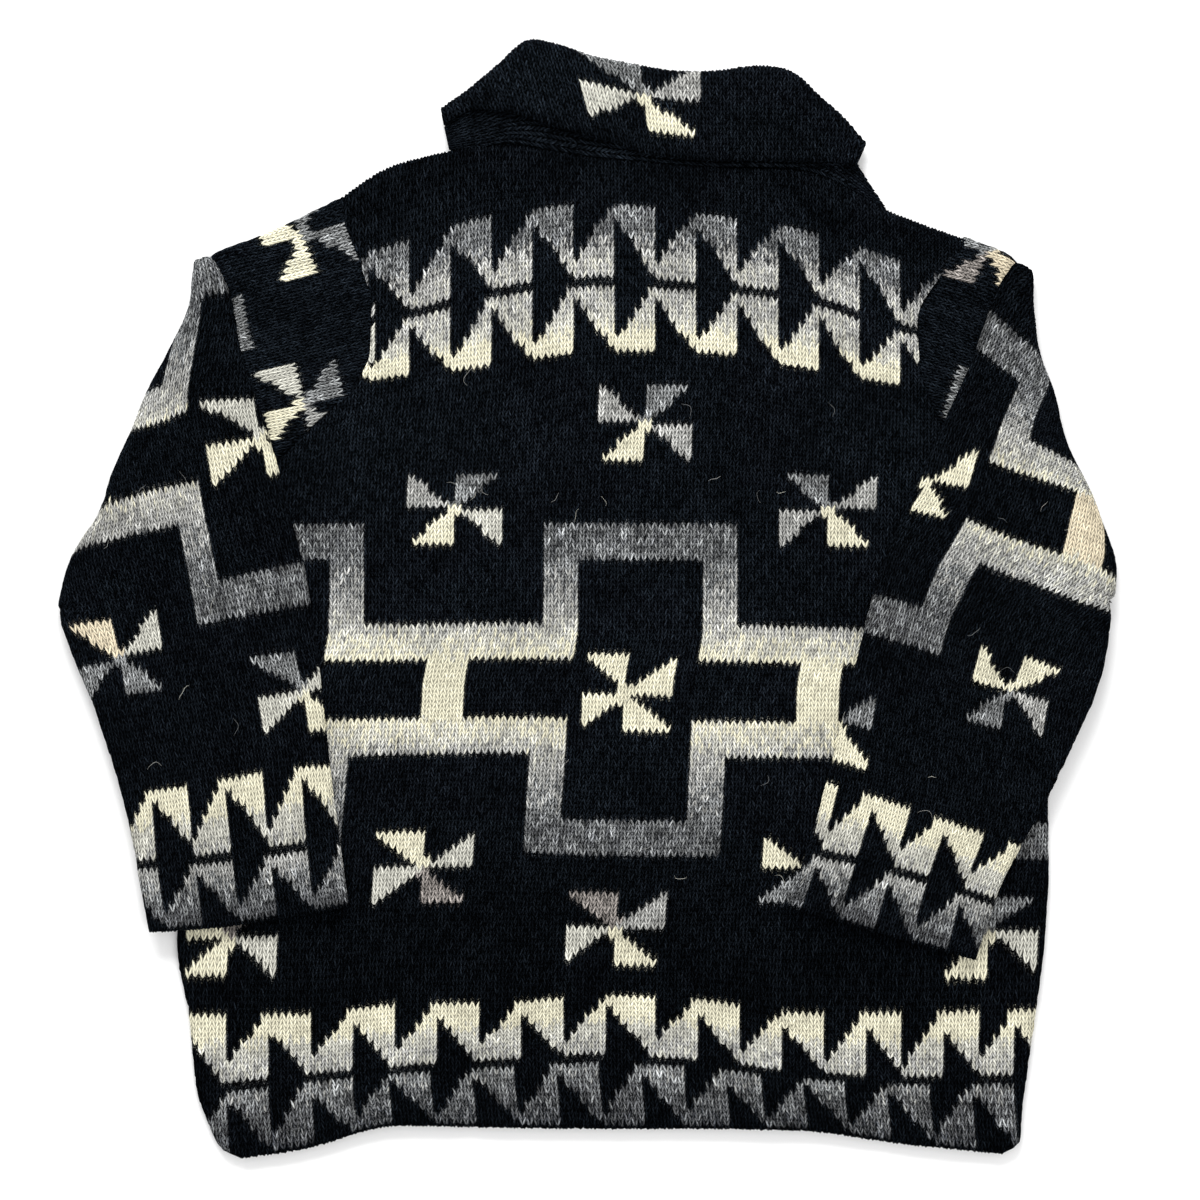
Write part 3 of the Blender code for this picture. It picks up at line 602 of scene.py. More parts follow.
def knit_shell(name, surface, chart, columns, rows, limits=None, relief=1.0, seed=1,
               step=4, each=1, facing=1.0, painted_ink_light=((0, 1.0), (200, 1.0))):
    """Mesh of stitches.

    surface(c, v) gives points in mm-true world metres for stitch and row
    coordinates; limits(v) the lowest and highest stitch of a row; step is the
    number of columns for a stitch and each the rows for a line of vertices;
    painted_ink_light the painted light and shade on the near-black yarn, a
    factor on its colour from row to row.
    """
    rng = np.random.default_rng(seed)
    q0, q1 = int(math.floor(columns[0])) * step, int(math.ceil(columns[1])) * step
    q = np.arange(q0, q1 + 1)
    j = np.arange(rows[0], rows[1] + each, each)
    c = np.broadcast_to(q / step, (len(j), len(q))).copy()
    jj = np.broadcast_to(j[:, None].astype(float), c.shape)
    loose = np.random.default_rng(seed + 77).normal(0, 1, (2,) + c.shape)
    c = c + 0.035 * np.clip(loose[0], -2, 2)
    jj = jj + 0.13 * np.clip(loose[1], -2, 2)
    v = np.clip(jj - lean(c), rows[0], rows[1])
    if limits is not None:
        # stitches past an edge shrink to one point of it for each row
        even = j.astype(float)
        ends = []
        for k in (0, 1):
            at = limits(np.clip(even - LEAN / 2, rows[0], rows[1]))[k]
            at_v = np.clip(even - lean(at), rows[0], rows[1])
            ends.append((limits(at_v)[k][:, None], at_v[:, None]))
        (low_c, low_v), (high_c, high_v) = ends
        lo, hi = limits(v)
        below = c <= lo + 0.12
        above = (c >= hi - 0.12) & ~below
        c = np.where(below, low_c, np.where(above, np.maximum(high_c, low_c), c))
        jj = np.where(below | above, even[:, None], jj)
        v = np.clip(jj - lean(c), rows[0], rows[1])
        v = np.where(below, low_v, np.where(above, high_v, v))
        lo, hi = limits(v)
        c = np.where(below | above, c, np.clip(c, lo, np.maximum(hi, lo)))
    else:
        c = np.clip(c, columns[0], columns[1])
    base = surface(c, v)
    e = 0.04
    dc = surface(c + e, v) - surface(c - e, v)
    dv = surface(c, v + e) - surface(c, v - e)
    normal = np.cross(dc, dv)
    size = np.linalg.norm(normal, axis=-1, keepdims=True)
    normal = normal / np.maximum(size, 1e-15) * facing
    phase = np.mod(c * 4, 4.0)
    rib = np.interp(phase, [0, 1, 2, 3, 4], list(RIB) + [RIB[0]])
    w = np.floor(c).astype(int)
    line = np.round(jj).astype(int)
    noise = np.random.default_rng(seed + 5).normal(0, 0.07, (400, 700))
    rib = rib + noise[(w + 150) % 400, (line + 60) % 700] + 0.35 * noise[(w + 151) % 400, 7]
    co = base + normal * (rib * relief * 0.001)[..., None]
    # faces
    nr, nc = c.shape
    idx = np.arange(nr * nc).reshape(nr, nc)
    quads = np.stack([idx[:-1, :-1], idx[:-1, 1:], idx[1:, 1:], idx[1:, :-1]], -1).reshape(-1, 4)
    if facing < 0:
        quads = quads[:, ::-1]
    flat = co.reshape(-1, 3)
    key = np.round(flat / 2e-6).astype(np.int64)
    _, first, same = np.unique(key, axis=0, return_index=True, return_inverse=True)
    same = same.ravel()
    wq = np.floor((q[:-1] + 0.5) / step)
    cell_c = np.broadcast_to(wq + 0.5, (nr - 1, nc - 1)).ravel()
    cell_v = np.broadcast_to((j[:-1] + 0.5 * each)[:, None], (nr - 1, nc - 1)).ravel()
    toned = chart(cell_c, cell_v, rng) if chart is not None else np.full(cell_c.shape, INK)
    stitch = np.random.default_rng(seed + 9).normal(0, 1, (400, 700))
    wob = stitch[(cell_c.astype(int) + 150) % 400, (np.floor(cell_v).astype(int) + 60) % 700]
    rgb = TONE_RGB[toned] * np.exp(TONE_MOTTLE[toned] * wob)[:, None]
    # painted light and shade: the near-black yarn is made darker where shade falls and lighter where
    # light falls, row by row
    ink_light_factor = np.interp(cell_v, [d[0] for d in painted_ink_light], [d[1] for d in painted_ink_light])
    rgb = rgb * np.where(toned == INK, ink_light_factor, 1.0)[:, None]
    rgb = np.clip(rgb, 0.001, 0.95)
    # the alpha carries the strength of the flecks and of the painted shade between strands
    rgb = np.concatenate([rgb, TONE_FLECK_AND_SHADE[toned][:, None]], 1)
    f = same[quads]
    distinct = (f != np.roll(f, -1, axis=1)).sum(1)
    # a quad with three corners left is a triangle
    keep4 = distinct == 4
    keep4 &= (f[:, 0] != f[:, 2]) & (f[:, 1] != f[:, 3])
    tri = (distinct == 3)
    four = f[keep4]
    t = f[tri]
    drop = np.argmax(t == np.roll(t, -1, axis=1), axis=1) if len(t) else np.zeros(0, int)
    mask = np.ones(t.shape, bool)
    mask[np.arange(len(t)), drop] = False
    three = t[mask].reshape(-1, 3)
    ok = (three[:, 0] != three[:, 1]) & (three[:, 1] != three[:, 2]) & (three[:, 0] != three[:, 2])
    three = three[ok]
    tri_rgb = rgb[tri][ok]
    used, back = np.unique(np.concatenate([four.ravel(), three.ravel()]), return_inverse=True)
    four_i, three_i = back[:four.size].reshape(-1, 4), back[four.size:].reshape(-1, 3)
    pts = flat[first[used]]
    info = np.stack([c.ravel(), (v + lean(c)).ravel(), np.zeros(c.size)], -1)[first[used]]
    return {"name": name, "co": pts, "four": four_i, "three": three_i,
            "rgb": np.concatenate([rgb[keep4], tri_rgb]), "info": info}


def stray_fibres(surface, spots, seed, out=1.0, tones=("light", "white", "grey")):
    """Short loose fibres that lie on the knitting: stitch, row, length, turn, curl."""
    rng = np.random.default_rng(seed)
    co, quads, rgb, uv = [], [], [], []
    base = 0
    for k, (c, v, size, turn, curl) in enumerate(spots):
        n = 13
        t = np.linspace(0, 1, n)
        a = turn + curl * (t - 0.5) * 2.2 + 0.25 * np.sin(t * 9 + k)
        step = size / (n - 1)
        x = c + np.cumsum(np.cos(a)) * step
        y = v + np.cumsum(np.sin(a)) * step * 1.4
        mid = surface(x, y)
        mid[:, 2] += out * (0.00055 + 0.0006 * np.sin(t * math.pi))
        ahead = np.gradient(mid, axis=0)
        ahead /= np.linalg.norm(ahead, axis=1, keepdims=True)
        across = np.cross(ahead, [0, 0, 1.0])
        across /= np.linalg.norm(across, axis=1, keepdims=True)
        up = np.cross(across, ahead)
        r = (0.00011 + 0.00003 * rng.random()) * np.sqrt(np.sin(np.pi * np.clip(t, 0.03, 0.97)))
        for m in range(3):
            b = 2 * math.pi * m / 3
            co.append(mid + (across * math.cos(b) + up * math.sin(b)) * r[:, None])
            uv.append(np.stack([np.full(n, k + m / 3.0), t], -1))
        for m in range(3):
            i = np.arange(n - 1)
            p0, p1 = base + m * n + i, base + ((m + 1) % 3) * n + i
            quads.append(np.stack([p0, p0 + 1, p1 + 1, p1], -1))
            rgb.append(np.tile(np.append(TONE_RGB[tone(tones[k % len(tones)])], 0.3), (n - 1, 1)))
        base += 3 * n
    co = np.concatenate(co)
    info = np.tile([0.25, 0.5, 0.0], (len(co), 1))
    return {"name": "fibres", "co": co, "four": np.concatenate(quads),
            "three": np.zeros((0, 3), int), "rgb": np.concatenate(rgb), "info": info,
            "uv": np.concatenate(uv)}


def scatter(seed, count, columns, rows):
    """Places for loose fibres, by seed."""
    rng = np.random.default_rng(seed)
    return [(rng.uniform(*columns), rng.uniform(*rows), rng.uniform(1.2, 3.4),
             rng.uniform(0, 6.28), rng.uniform(-1.1, 1.1)) for _ in range(count)]


def join(name, parts):
    """One mesh object from several shells."""
    co, info, four, three, rgb4, rgb3 = [], [], [], [], [], []
    shift = 0
    for p in parts:
        co.append(p["co"])
        info.append(p["info"])
        four.append(p["four"] + shift)
        three.append(p["three"] + shift)
        rgb4.append(p["rgb"][:len(p["four"])])
        rgb3.append(p["rgb"][len(p["four"]):])
        shift += len(p["co"])
    co, info = np.concatenate(co), np.concatenate(info)
    four, three = np.concatenate(four), np.concatenate(three)
    rgb = np.concatenate(rgb4 + rgb3)
    n4, n3 = len(four), len(three)
    mesh = bpy.data.meshes.new(name)
    mesh.vertices.add(len(co))
    mesh.vertices.foreach_set("co", co.astype(np.float32).ravel())
    loops = np.concatenate([four.ravel(), three.ravel()]).astype(np.int32)
    mesh.loops.add(len(loops))
    mesh.loops.foreach_set("vertex_index", loops)
    starts = np.concatenate([np.arange(n4) * 4, n4 * 4 + np.arange(n3) * 3]).astype(np.int32)
    mesh.polygons.add(n4 + n3)
    mesh.polygons.foreach_set("loop_start", starts)
    mesh.update(calc_edges=True)
    # colour of each stitch, and a blurred copy for the fuzz between stitches
    counts = np.concatenate([np.full(n4, 4), np.full(n3, 3)])
    corner = np.repeat(rgb, counts, axis=0)
    layer = mesh.color_attributes.new("yarn", "FLOAT_COLOR", "CORNER")
    layer.data.foreach_set("color", corner.astype(np.float32).ravel())
    total = np.zeros((len(co), 4))
    seen = np.zeros(len(co))
    np.add.at(total, loops, corner)
    np.add.at(seen, loops, 1)
    blur = total / np.maximum(seen, 1)[:, None]
    layer = mesh.color_attributes.new("halo", "FLOAT_COLOR", "POINT")
    layer.data.foreach_set("color", blur.astype(np.float32).ravel())
    knit = mesh.attributes.new("knit", "FLOAT_VECTOR", "POINT")
    knit.data.foreach_set("vector", info.astype(np.float32).ravel())
    # layout for the finish: each shell has its own strip of the square
    uv = np.zeros((len(co), 2))
    share = np.array([max(len(p["co"]), 0.02 * len(co)) for p in parts])
    share = share / share.sum()
    start, left = 0, 0.0
    for p, width in zip(parts, share):
        n = len(p["co"])
        block = p["uv"] if "uv" in p else p["info"][:, :2]
        low, high = block.min(0), block.max(0)
        uv[start:start + n] = (block - low) / np.maximum(high - low, 1e-6)
        uv[start:start + n, 0] = left + (uv[start:start + n, 0] * 0.98 + 0.01) * width
        uv[start:start + n, 1] = uv[start:start + n, 1] * 0.99 + 0.005
        start += n
        left += width
    layer = mesh.uv_layers.new(name="OFBake")
    layer.data.foreach_set("uv", uv[loops].astype(np.float32).ravel())
    mesh.validate()
    mesh.shade_smooth()
    obj = bpy.data.objects.new(name, mesh)
    bpy.context.scene.collection.objects.link(obj)
    return obj


# ---------------------------------------------------------------- material
def knit_material(name, sheen=0.002, fuzz=0.45):
    mat = bpy.data.materials.new(name)
    mat.use_nodes = True
    tree = mat.node_tree
    tree.nodes.clear()
    new, link = tree.nodes.new, tree.links.new

    def math_node(kind, a, b=None, c=None):
        n = new("ShaderNodeMath")
        n.operation = kind
        for socket, value in zip(n.inputs, (a, b, c)):
            if value is None:
                continue
            if isinstance(value, (int, float)):
                socket.default_value = value
            else:
                link(value, socket)
        return n.outputs[0]

    def mix(kind, fac, a, b):
        n = new("ShaderNodeMix")
        n.data_type = "RGBA"
        n.blend_type = kind
        if isinstance(fac, (int, float)):
            n.inputs[0].default_value = fac
        else:
            link(fac, n.inputs[0])
        for socket, value in ((n.inputs[6], a), (n.inputs[7], b)):
            if isinstance(value, tuple):
                socket.default_value = (*value, 1)
            else:
                link(value, socket)
        return n.outputs[2]

    out = new("ShaderNodeOutputMaterial")
    shader = new("ShaderNodeBsdfPrincipled")
    yarn, halo, knit = (new("ShaderNodeAttribute") for _ in range(3))
    yarn.attribute_name, halo.attribute_name, knit.attribute_name = "yarn", "halo", "knit"
    place = new("ShaderNodeTexCoord").outputs["Object"]
    axes = new("ShaderNodeSeparateXYZ")
    link(knit.outputs["Vector"], axes.inputs[0])
    u, v = axes.outputs[0], axes.outputs[1]
    # the round back of each leg of a stitch, and the dips between legs
    slack = new("ShaderNodeTexNoise")
    slack.inputs["Scale"].default_value = 330.0
    slack.inputs["Detail"].default_value = 1.0
    link(place, slack.inputs["Vector"])
    sway = new("ShaderNodeSeparateXYZ")
    link(slack.outputs["Color"], sway.inputs[0])
    u = math_node("ADD", u, math_node("MULTIPLY", math_node("SUBTRACT", sway.outputs[0], 0.5), 0.20))
    v = math_node("ADD", v, math_node("MULTIPLY", math_node("SUBTRACT", sway.outputs[1], 0.5), 0.26))
    leg = math_node("MULTIPLY", u, 2.0)
    part = math_node("PINGPONG", leg, 1.0)             # 0 at a rib's groove, 1 in the middle
    level = math_node("SUBTRACT", math_node("FRACT", v), 0.5)
    aside = math_node("ADD", math_node("SUBTRACT", part, 0.5), math_node("MULTIPLY", level, 0.34))
    aside = math_node("MULTIPLY", aside, 2.05)
    ahead = math_node("MULTIPLY", level, 1.78)
    round_ = math_node("SUBTRACT", 1.0, math_node("ADD", math_node("MULTIPLY", aside, aside),
                                                 math_node("MULTIPLY", ahead, ahead)))
    strand = math_node("POWER", math_node("MAXIMUM", round_, 0.0), 0.42)
    each_leg = new("ShaderNodeTexWhiteNoise")
    each_leg.noise_dimensions = "2D"
    cell = new("ShaderNodeCombineXYZ")
    link(math_node("FLOOR", leg), cell.inputs[0])
    link(math_node("FLOOR", v), cell.inputs[1])
    link(cell.outputs[0], each_leg.inputs["Vector"])
    # fibres that run with the strand
    stretch = new("ShaderNodeCombineXYZ")
    link(math_node("MULTIPLY", leg, 1.3), stretch.inputs[0])
    link(math_node("MULTIPLY", math_node("ADD", v, math_node("MULTIPLY", part, 0.9)), 2.7),
         stretch.inputs[1])
    fibre = new("ShaderNodeTexNoise")
    fibre.inputs["Scale"].default_value = 1.0
    fibre.inputs["Detail"].default_value = 3.0
    fibre.inputs["Roughness"].default_value = 0.7
    link(stretch.outputs[0], fibre.inputs["Vector"])
    fine = new("ShaderNodeTexNoise")
    fine.inputs["Scale"].default_value = 1150.0
    fine.inputs["Detail"].default_value = 2.0
    link(place, fine.inputs["Vector"])
    broad = new("ShaderNodeTexNoise")
    broad.inputs["Scale"].default_value = 26.0
    broad.inputs["Detail"].default_value = 3.0
    link(place, broad.inputs["Vector"])
    # stray fibres carry some of a neighbour's colour across the edge
    hairs = new("ShaderNodeMapRange")
    hairs.inputs["From Min"].default_value = 0.52
    hairs.inputs["From Max"].default_value = 0.66
    hairs.inputs["To Max"].default_value = fuzz
    link(fine.outputs["Fac"], hairs.inputs["Value"])
    base = mix("MIX", hairs.outputs[0], yarn.outputs["Color"], halo.outputs["Color"])
    # painted shade between strands and painted highlight on their round backs, and heathered
    shade = new("ShaderNodeMapRange")
    shade.inputs["From Min"].default_value = 0.0
    shade.inputs["From Max"].default_value = 0.92
    # painted shade in the gaps between strands, deeper for darker yarn
    painted_gap_shade = math_node("SUBTRACT", 0.50, math_node("MULTIPLY", yarn.outputs["Alpha"], 0.28))
    link(math_node("MAXIMUM", painted_gap_shade, 0.08), shade.inputs["To Min"])
    shade.inputs["To Max"].default_value = 1.20
    link(strand, shade.inputs["Value"])
    speck = math_node("ADD", math_node("MULTIPLY", fibre.outputs["Fac"], 0.6),
                      math_node("MULTIPLY", fine.outputs["Fac"], 0.4))
    speck = math_node("MULTIPLY", math_node("SUBTRACT", speck, 0.5), 5.8)
    speck = math_node("ADD", speck, math_node("MULTIPLY", math_node(
        "SUBTRACT", each_leg.outputs["Value"], 0.5), 0.45))
    flecks = math_node("ADD", 1.0, math_node("MULTIPLY", speck, yarn.outputs["Alpha"]))
    flecks = math_node("MAXIMUM", flecks, 0.10)
    # broad random patches, a little lighter or darker
    broad_mottle = new("ShaderNodeMapRange")
    broad_mottle.inputs["From Min"].default_value = 0.3
    broad_mottle.inputs["From Max"].default_value = 0.7
    broad_mottle.inputs["To Min"].default_value = 0.84
    broad_mottle.inputs["To Max"].default_value = 1.12
    link(broad.outputs["Fac"], broad_mottle.inputs["Value"])
    factor = math_node("MULTIPLY", math_node("MULTIPLY", shade.outputs[0], flecks),
                       broad_mottle.outputs[0])
    # dark yarn shows its strands more sharply: the painted shade between strands and the painted
    # highlight on them are stronger
    sharp = math_node("ADD", 0.80, math_node("MULTIPLY", yarn.outputs["Alpha"], 0.66))
    factor = math_node("POWER", factor, sharp)
    grey = new("ShaderNodeCombineXYZ")
    for k in range(3):
        link(factor, grey.inputs[k])
    colour = mix("MULTIPLY", 1.0, base, grey.outputs[0])
    link(colour, shader.inputs["Base Color"])
    rough = new("ShaderNodeMapRange")
    rough.inputs["To Min"].default_value = 0.80
    rough.inputs["To Max"].default_value = 0.98
    link(fibre.outputs["Fac"], rough.inputs["Value"])
    link(rough.outputs[0], shader.inputs["Roughness"])
    shader.inputs["Specular IOR Level"].default_value = 0.006
    shader.inputs["Sheen Weight"].default_value = sheen
    shader.inputs["Sheen Roughness"].default_value = 0.55
    shader.inputs["Sheen Tint"].default_value = (0.55, 0.62, 0.78, 1)
    height = math_node("ADD", strand, math_node("MULTIPLY", fibre.outputs["Fac"], 0.55))
    height = math_node("ADD", height, math_node("MULTIPLY", fine.outputs["Fac"], 0.22))
    bump = new("ShaderNodeBump")
    bump.inputs["Strength"].default_value = 0.75
    bump.inputs["Distance"].default_value = 0.0011
    link(height, bump.inputs["Height"])
    link(bump.outputs[0], shader.inputs["Normal"])
    link(shader.outputs[0], out.inputs["Surface"])
    return mat


# ---------------------------------------------------------------- body
def body_surface(c, v):
    """The back's outer face."""
    vv = np.clip(v, 0, TOP_ROW)
    flat_x = WALE_MID(vv) + WALE_WIDE(vv) * c
    flat_x = flat_x + 0.9 * bumps(flat_x, v * 5.0, 90.0, 3)
    closed = np.clip((UNDERARM_ROW + 2 - vv) / 3, 0, 1)
    left, right = SIDE_LEFT(vv), SIDE_RIGHT(vv)
    sl = (flat_x - left) * PX + EXTRA * closed
    sr = (right - flat_x) * PX + EXTRA * closed
    il, hl = roll_in(sl)
    ir, hr = roll_in(sr)
    dip = 0.8
    ol, gl = np.maximum(sl, 0), HALF - dip * np.exp(-(sl / 1.6) ** 2)
    orr, gr = np.maximum(sr, 0), HALF - dip * np.exp(-(sr / 1.6) ** 2)
    il, hl = closed * il + (1 - closed) * ol, closed * hl + (1 - closed) * gl
    ir, hr = closed * ir + (1 - closed) * orr, closed * hr + (1 - closed) * gr
    x = np.where(sl < sr, left + il / PX, right - ir / PX)
    high = HALF * (hl / HALF) * (hr / HALF)
    # shoulders turn over at the top, the neck ends under the collar
    shut = np.maximum(ramp(-x, -452, -440), ramp(x, 878, 890))
    s = (TOP_ROW + 0.68 - v) * ROW
    inset, turn = roll_in(s)
    y = row_y(x, vv)
    y = y - (1.3 * bumps(x, vv * 5.0, 120.0, 8)) * ramp(vv, 3, 12) * ramp(-vv, -188, -178)
    top = row_y(x, np.full_like(x, TOP_ROW)) + inset / PX
    near = v > TOP_ROW + 0.68 - HALF * math.pi / 2 / ROW
    y = np.where(near & (shut > 0), top, y)
    high = high * np.where(near, 1 - shut * (1 - turn / HALF), 1)
    z = HALF + high + lift(x, y) + creases("body", x, y)
    edge = ramp(np.minimum(sl, sr), 2, 14) * ramp(vv, 0.5, 4)
    z = z + 0.45 * bumps(x, y, 60.0, 12, 3) * edge
    z = z + 0.5 * np.exp(-((v - 0.6) / 1.2) ** 2) * (v >= 0)
    # hem turned under
    out, down = hem_turn(v)
    y = y + out / PX
    z = z - down * np.clip(high / HALF, 0.05, 1)
    return world(x, y, z)


def body_limits(v):
    vv = np.clip(v, 0, TOP_ROW)
    closed = np.clip((UNDERARM_ROW + 2 - vv) / 3, 0, 1)
    mid, wide = WALE_MID(vv), WALE_WIDE(vv)
    left = (SIDE_LEFT(vv) - EXTRA * closed / PX - mid) / wide
    right = (SIDE_RIGHT(vv) + EXTRA * closed / PX - mid) / wide
    return left, right


def front_surface(side):
    """A front's outer face, which lies on the ground."""
    def surface(c, v):
        vv = np.clip(v, 0, TOP_ROW)
        flat_x = WALE_MID(vv) + WALE_WIDE(vv) * c
        closed = np.clip((UNDERARM_ROW + 2 - vv) / 3, 0, 1)
        edge = SIDE_LEFT(vv) if side < 0 else SIDE_RIGHT(vv)
        s = ((flat_x - edge) if side < 0 else (edge - flat_x)) * PX + EXTRA * closed
        inset, high = roll_in(s)
        open_in, open_h = np.maximum(s, 0), HALF - 1.0 * np.exp(-(s / 1.6) ** 2)
        inset = closed * inset + (1 - closed) * open_in
        high = closed * high + (1 - closed) * open_h
        x = edge + (inset if side < 0 else -inset) / PX
        y = row_y(x, vv)
        out, down = hem_turn(v)
        y = y + out / PX
        inside = ramp(s, 3, 16) * ramp(vv, 1, 6) * ramp(-vv, -TOP_ROW, -TOP_ROW + 6)
        lump = np.maximum(creases("frontl" if side < 0 else "frontr", x, y)
                          + 0.45 * (0.8 + bumps(x, y, 66.0, 15 + side, 3)), 0)
        z = HALF - high + 0.75 + down * np.clip(high / HALF, 0.05, 1) * 0.82 + lump * inside
        return world(x, y, z)
    return surface


def front_limits(side):
    def limits(v):
        vv = np.clip(v, 0, TOP_ROW)
        lo, hi = body_limits(v)
        mid, wide = WALE_MID(vv), WALE_WIDE(vv)
        if side < 0:
            return lo, (BAND_LEFT(vv) - 0.3 - mid) / wide
        return (BAND_RIGHT(vv) + 0.3 - mid) / wide, hi
    return limits


def band_shell(name, side, seed):
    """Front band and lapel, knitted sideways: outer face and inner face."""
    def edges(v):
        vv = np.clip(v, 0, LAPEL_ROW)
        if side < 0:
            return BAND_LEFT(vv) + 0.3, OPENING(vv) - 0.3
        return OPENING(vv) + 0.3, BAND_RIGHT(vv) - 0.3

    def surface(top):
        def at(c, v):
            # c counts rows of the garment, v stitches across the band
            vv = np.clip(c * 1.42, 0, LAPEL_ROW)
            a, b = edges(vv)
            t = v / 60.0
            x = a + (b - a) * np.clip(t, 0, 1)
            y = row_y(x, vv)
            if top:
                z = WALL * np.ones_like(x)
                raised = ramp(vv, 184, 196) * ramp(x, 770, 815)
                side_r = np.clip(np.minimum(t, 1 - t) * (b - a) * PX / 3.0, 0, 1)
                z = z + raised * (3.4 * np.sqrt(side_r * (2 - side_r)) + 0.8 * bumps(x, y, 22.0, 5))
                z = z + ramp(vv, 188, 200) * ramp(-x, -520, -490) * 1.2
            else:
                d = np.minimum(np.minimum(t, 1 - t) * (b - a) * PX, 2.0) / 2.0
                z = 0.75 + 1.1 * (1 - np.sqrt(np.clip(d * (2 - d), 0, 1)))
            return world(x, y, z)
        return at

    chart = None
    top_columns = (182 / 1.42, LAPEL_ROW / 1.42)
    low = knit_shell(name, surface(False), chart, (0, LAPEL_ROW / 1.42), (0, 60), relief=0.8,
                     seed=seed, step=2, each=2, facing=1.0)
    high = knit_shell(name, surface(True), chart, top_columns, (0, 60), relief=0.9,
                      seed=seed + 1, step=4, each=1, facing=-1.0)
    return [low, high]


# ---------------------------------------------------------------- sleeves
def inside_polygon(px, py, poly):
    poly = np.asarray(poly, float)
    x1, y1 = poly[:, 0], poly[:, 1]
    x2, y2 = np.roll(x1, -1), np.roll(y1, -1)
    result = np.zeros(px.shape, bool)
    for a, b, c_, d in zip(x1, y1, x2, y2):
        hit = (b > py) != (d > py)
        with np.errstate(divide="ignore", invalid="ignore"):
            cut = a + (py - b) * (c_ - a) / (d - b if d != b else 1e-9)
        result ^= hit & (px < cut)
    return result


def make_limits(position, poly, columns, rows):
    """Lowest and highest stitch inside an outline, as a function of the row."""
    vs = np.arange(rows[0], rows[1] + 0.01, 0.5)
    cs = np.arange(columns[0], columns[1], 0.5)
    cc, vv = np.meshgrid(cs, vs)
    x, y = position(cc, vv)
    inside = inside_polygon(x, y, poly)
    found = inside.any(1)
    first = np.argmax(inside, 1)
    last = len(cs) - 1 - np.argmax(inside[:, ::-1], 1)
    lo_in, hi_in = cs[first], cs[last]
    lo_out, hi_out = lo_in - 0.5, hi_in + 0.5
    for _ in range(9):
        mid = (lo_in + lo_out) / 2
        good = inside_polygon(*position(mid, vs), poly)
        lo_in, lo_out = np.where(good, mid, lo_in), np.where(good, lo_out, mid)
        mid = (hi_in + hi_out) / 2
        good = inside_polygon(*position(mid, vs), poly)
        hi_in, hi_out = np.where(good, mid, hi_in), np.where(good, hi_out, mid)
    if not found.all():
        ok = np.flatnonzero(found)
        middle = (lo_in + hi_in) / 2
        lo_in = np.interp(vs, vs[ok], lo_in[ok])
        hi_in = np.interp(vs, vs[ok], hi_in[ok])
        gone = ~found
        last_mid = np.interp(vs, vs[ok], middle[ok])
        lo_in[gone], hi_in[gone] = last_mid[gone], last_mid[gone]
    top = vs[np.flatnonzero(found)[-1]]
    return (lambda v: (np.interp(v, vs, lo_in), np.interp(v, vs, hi_in))), top


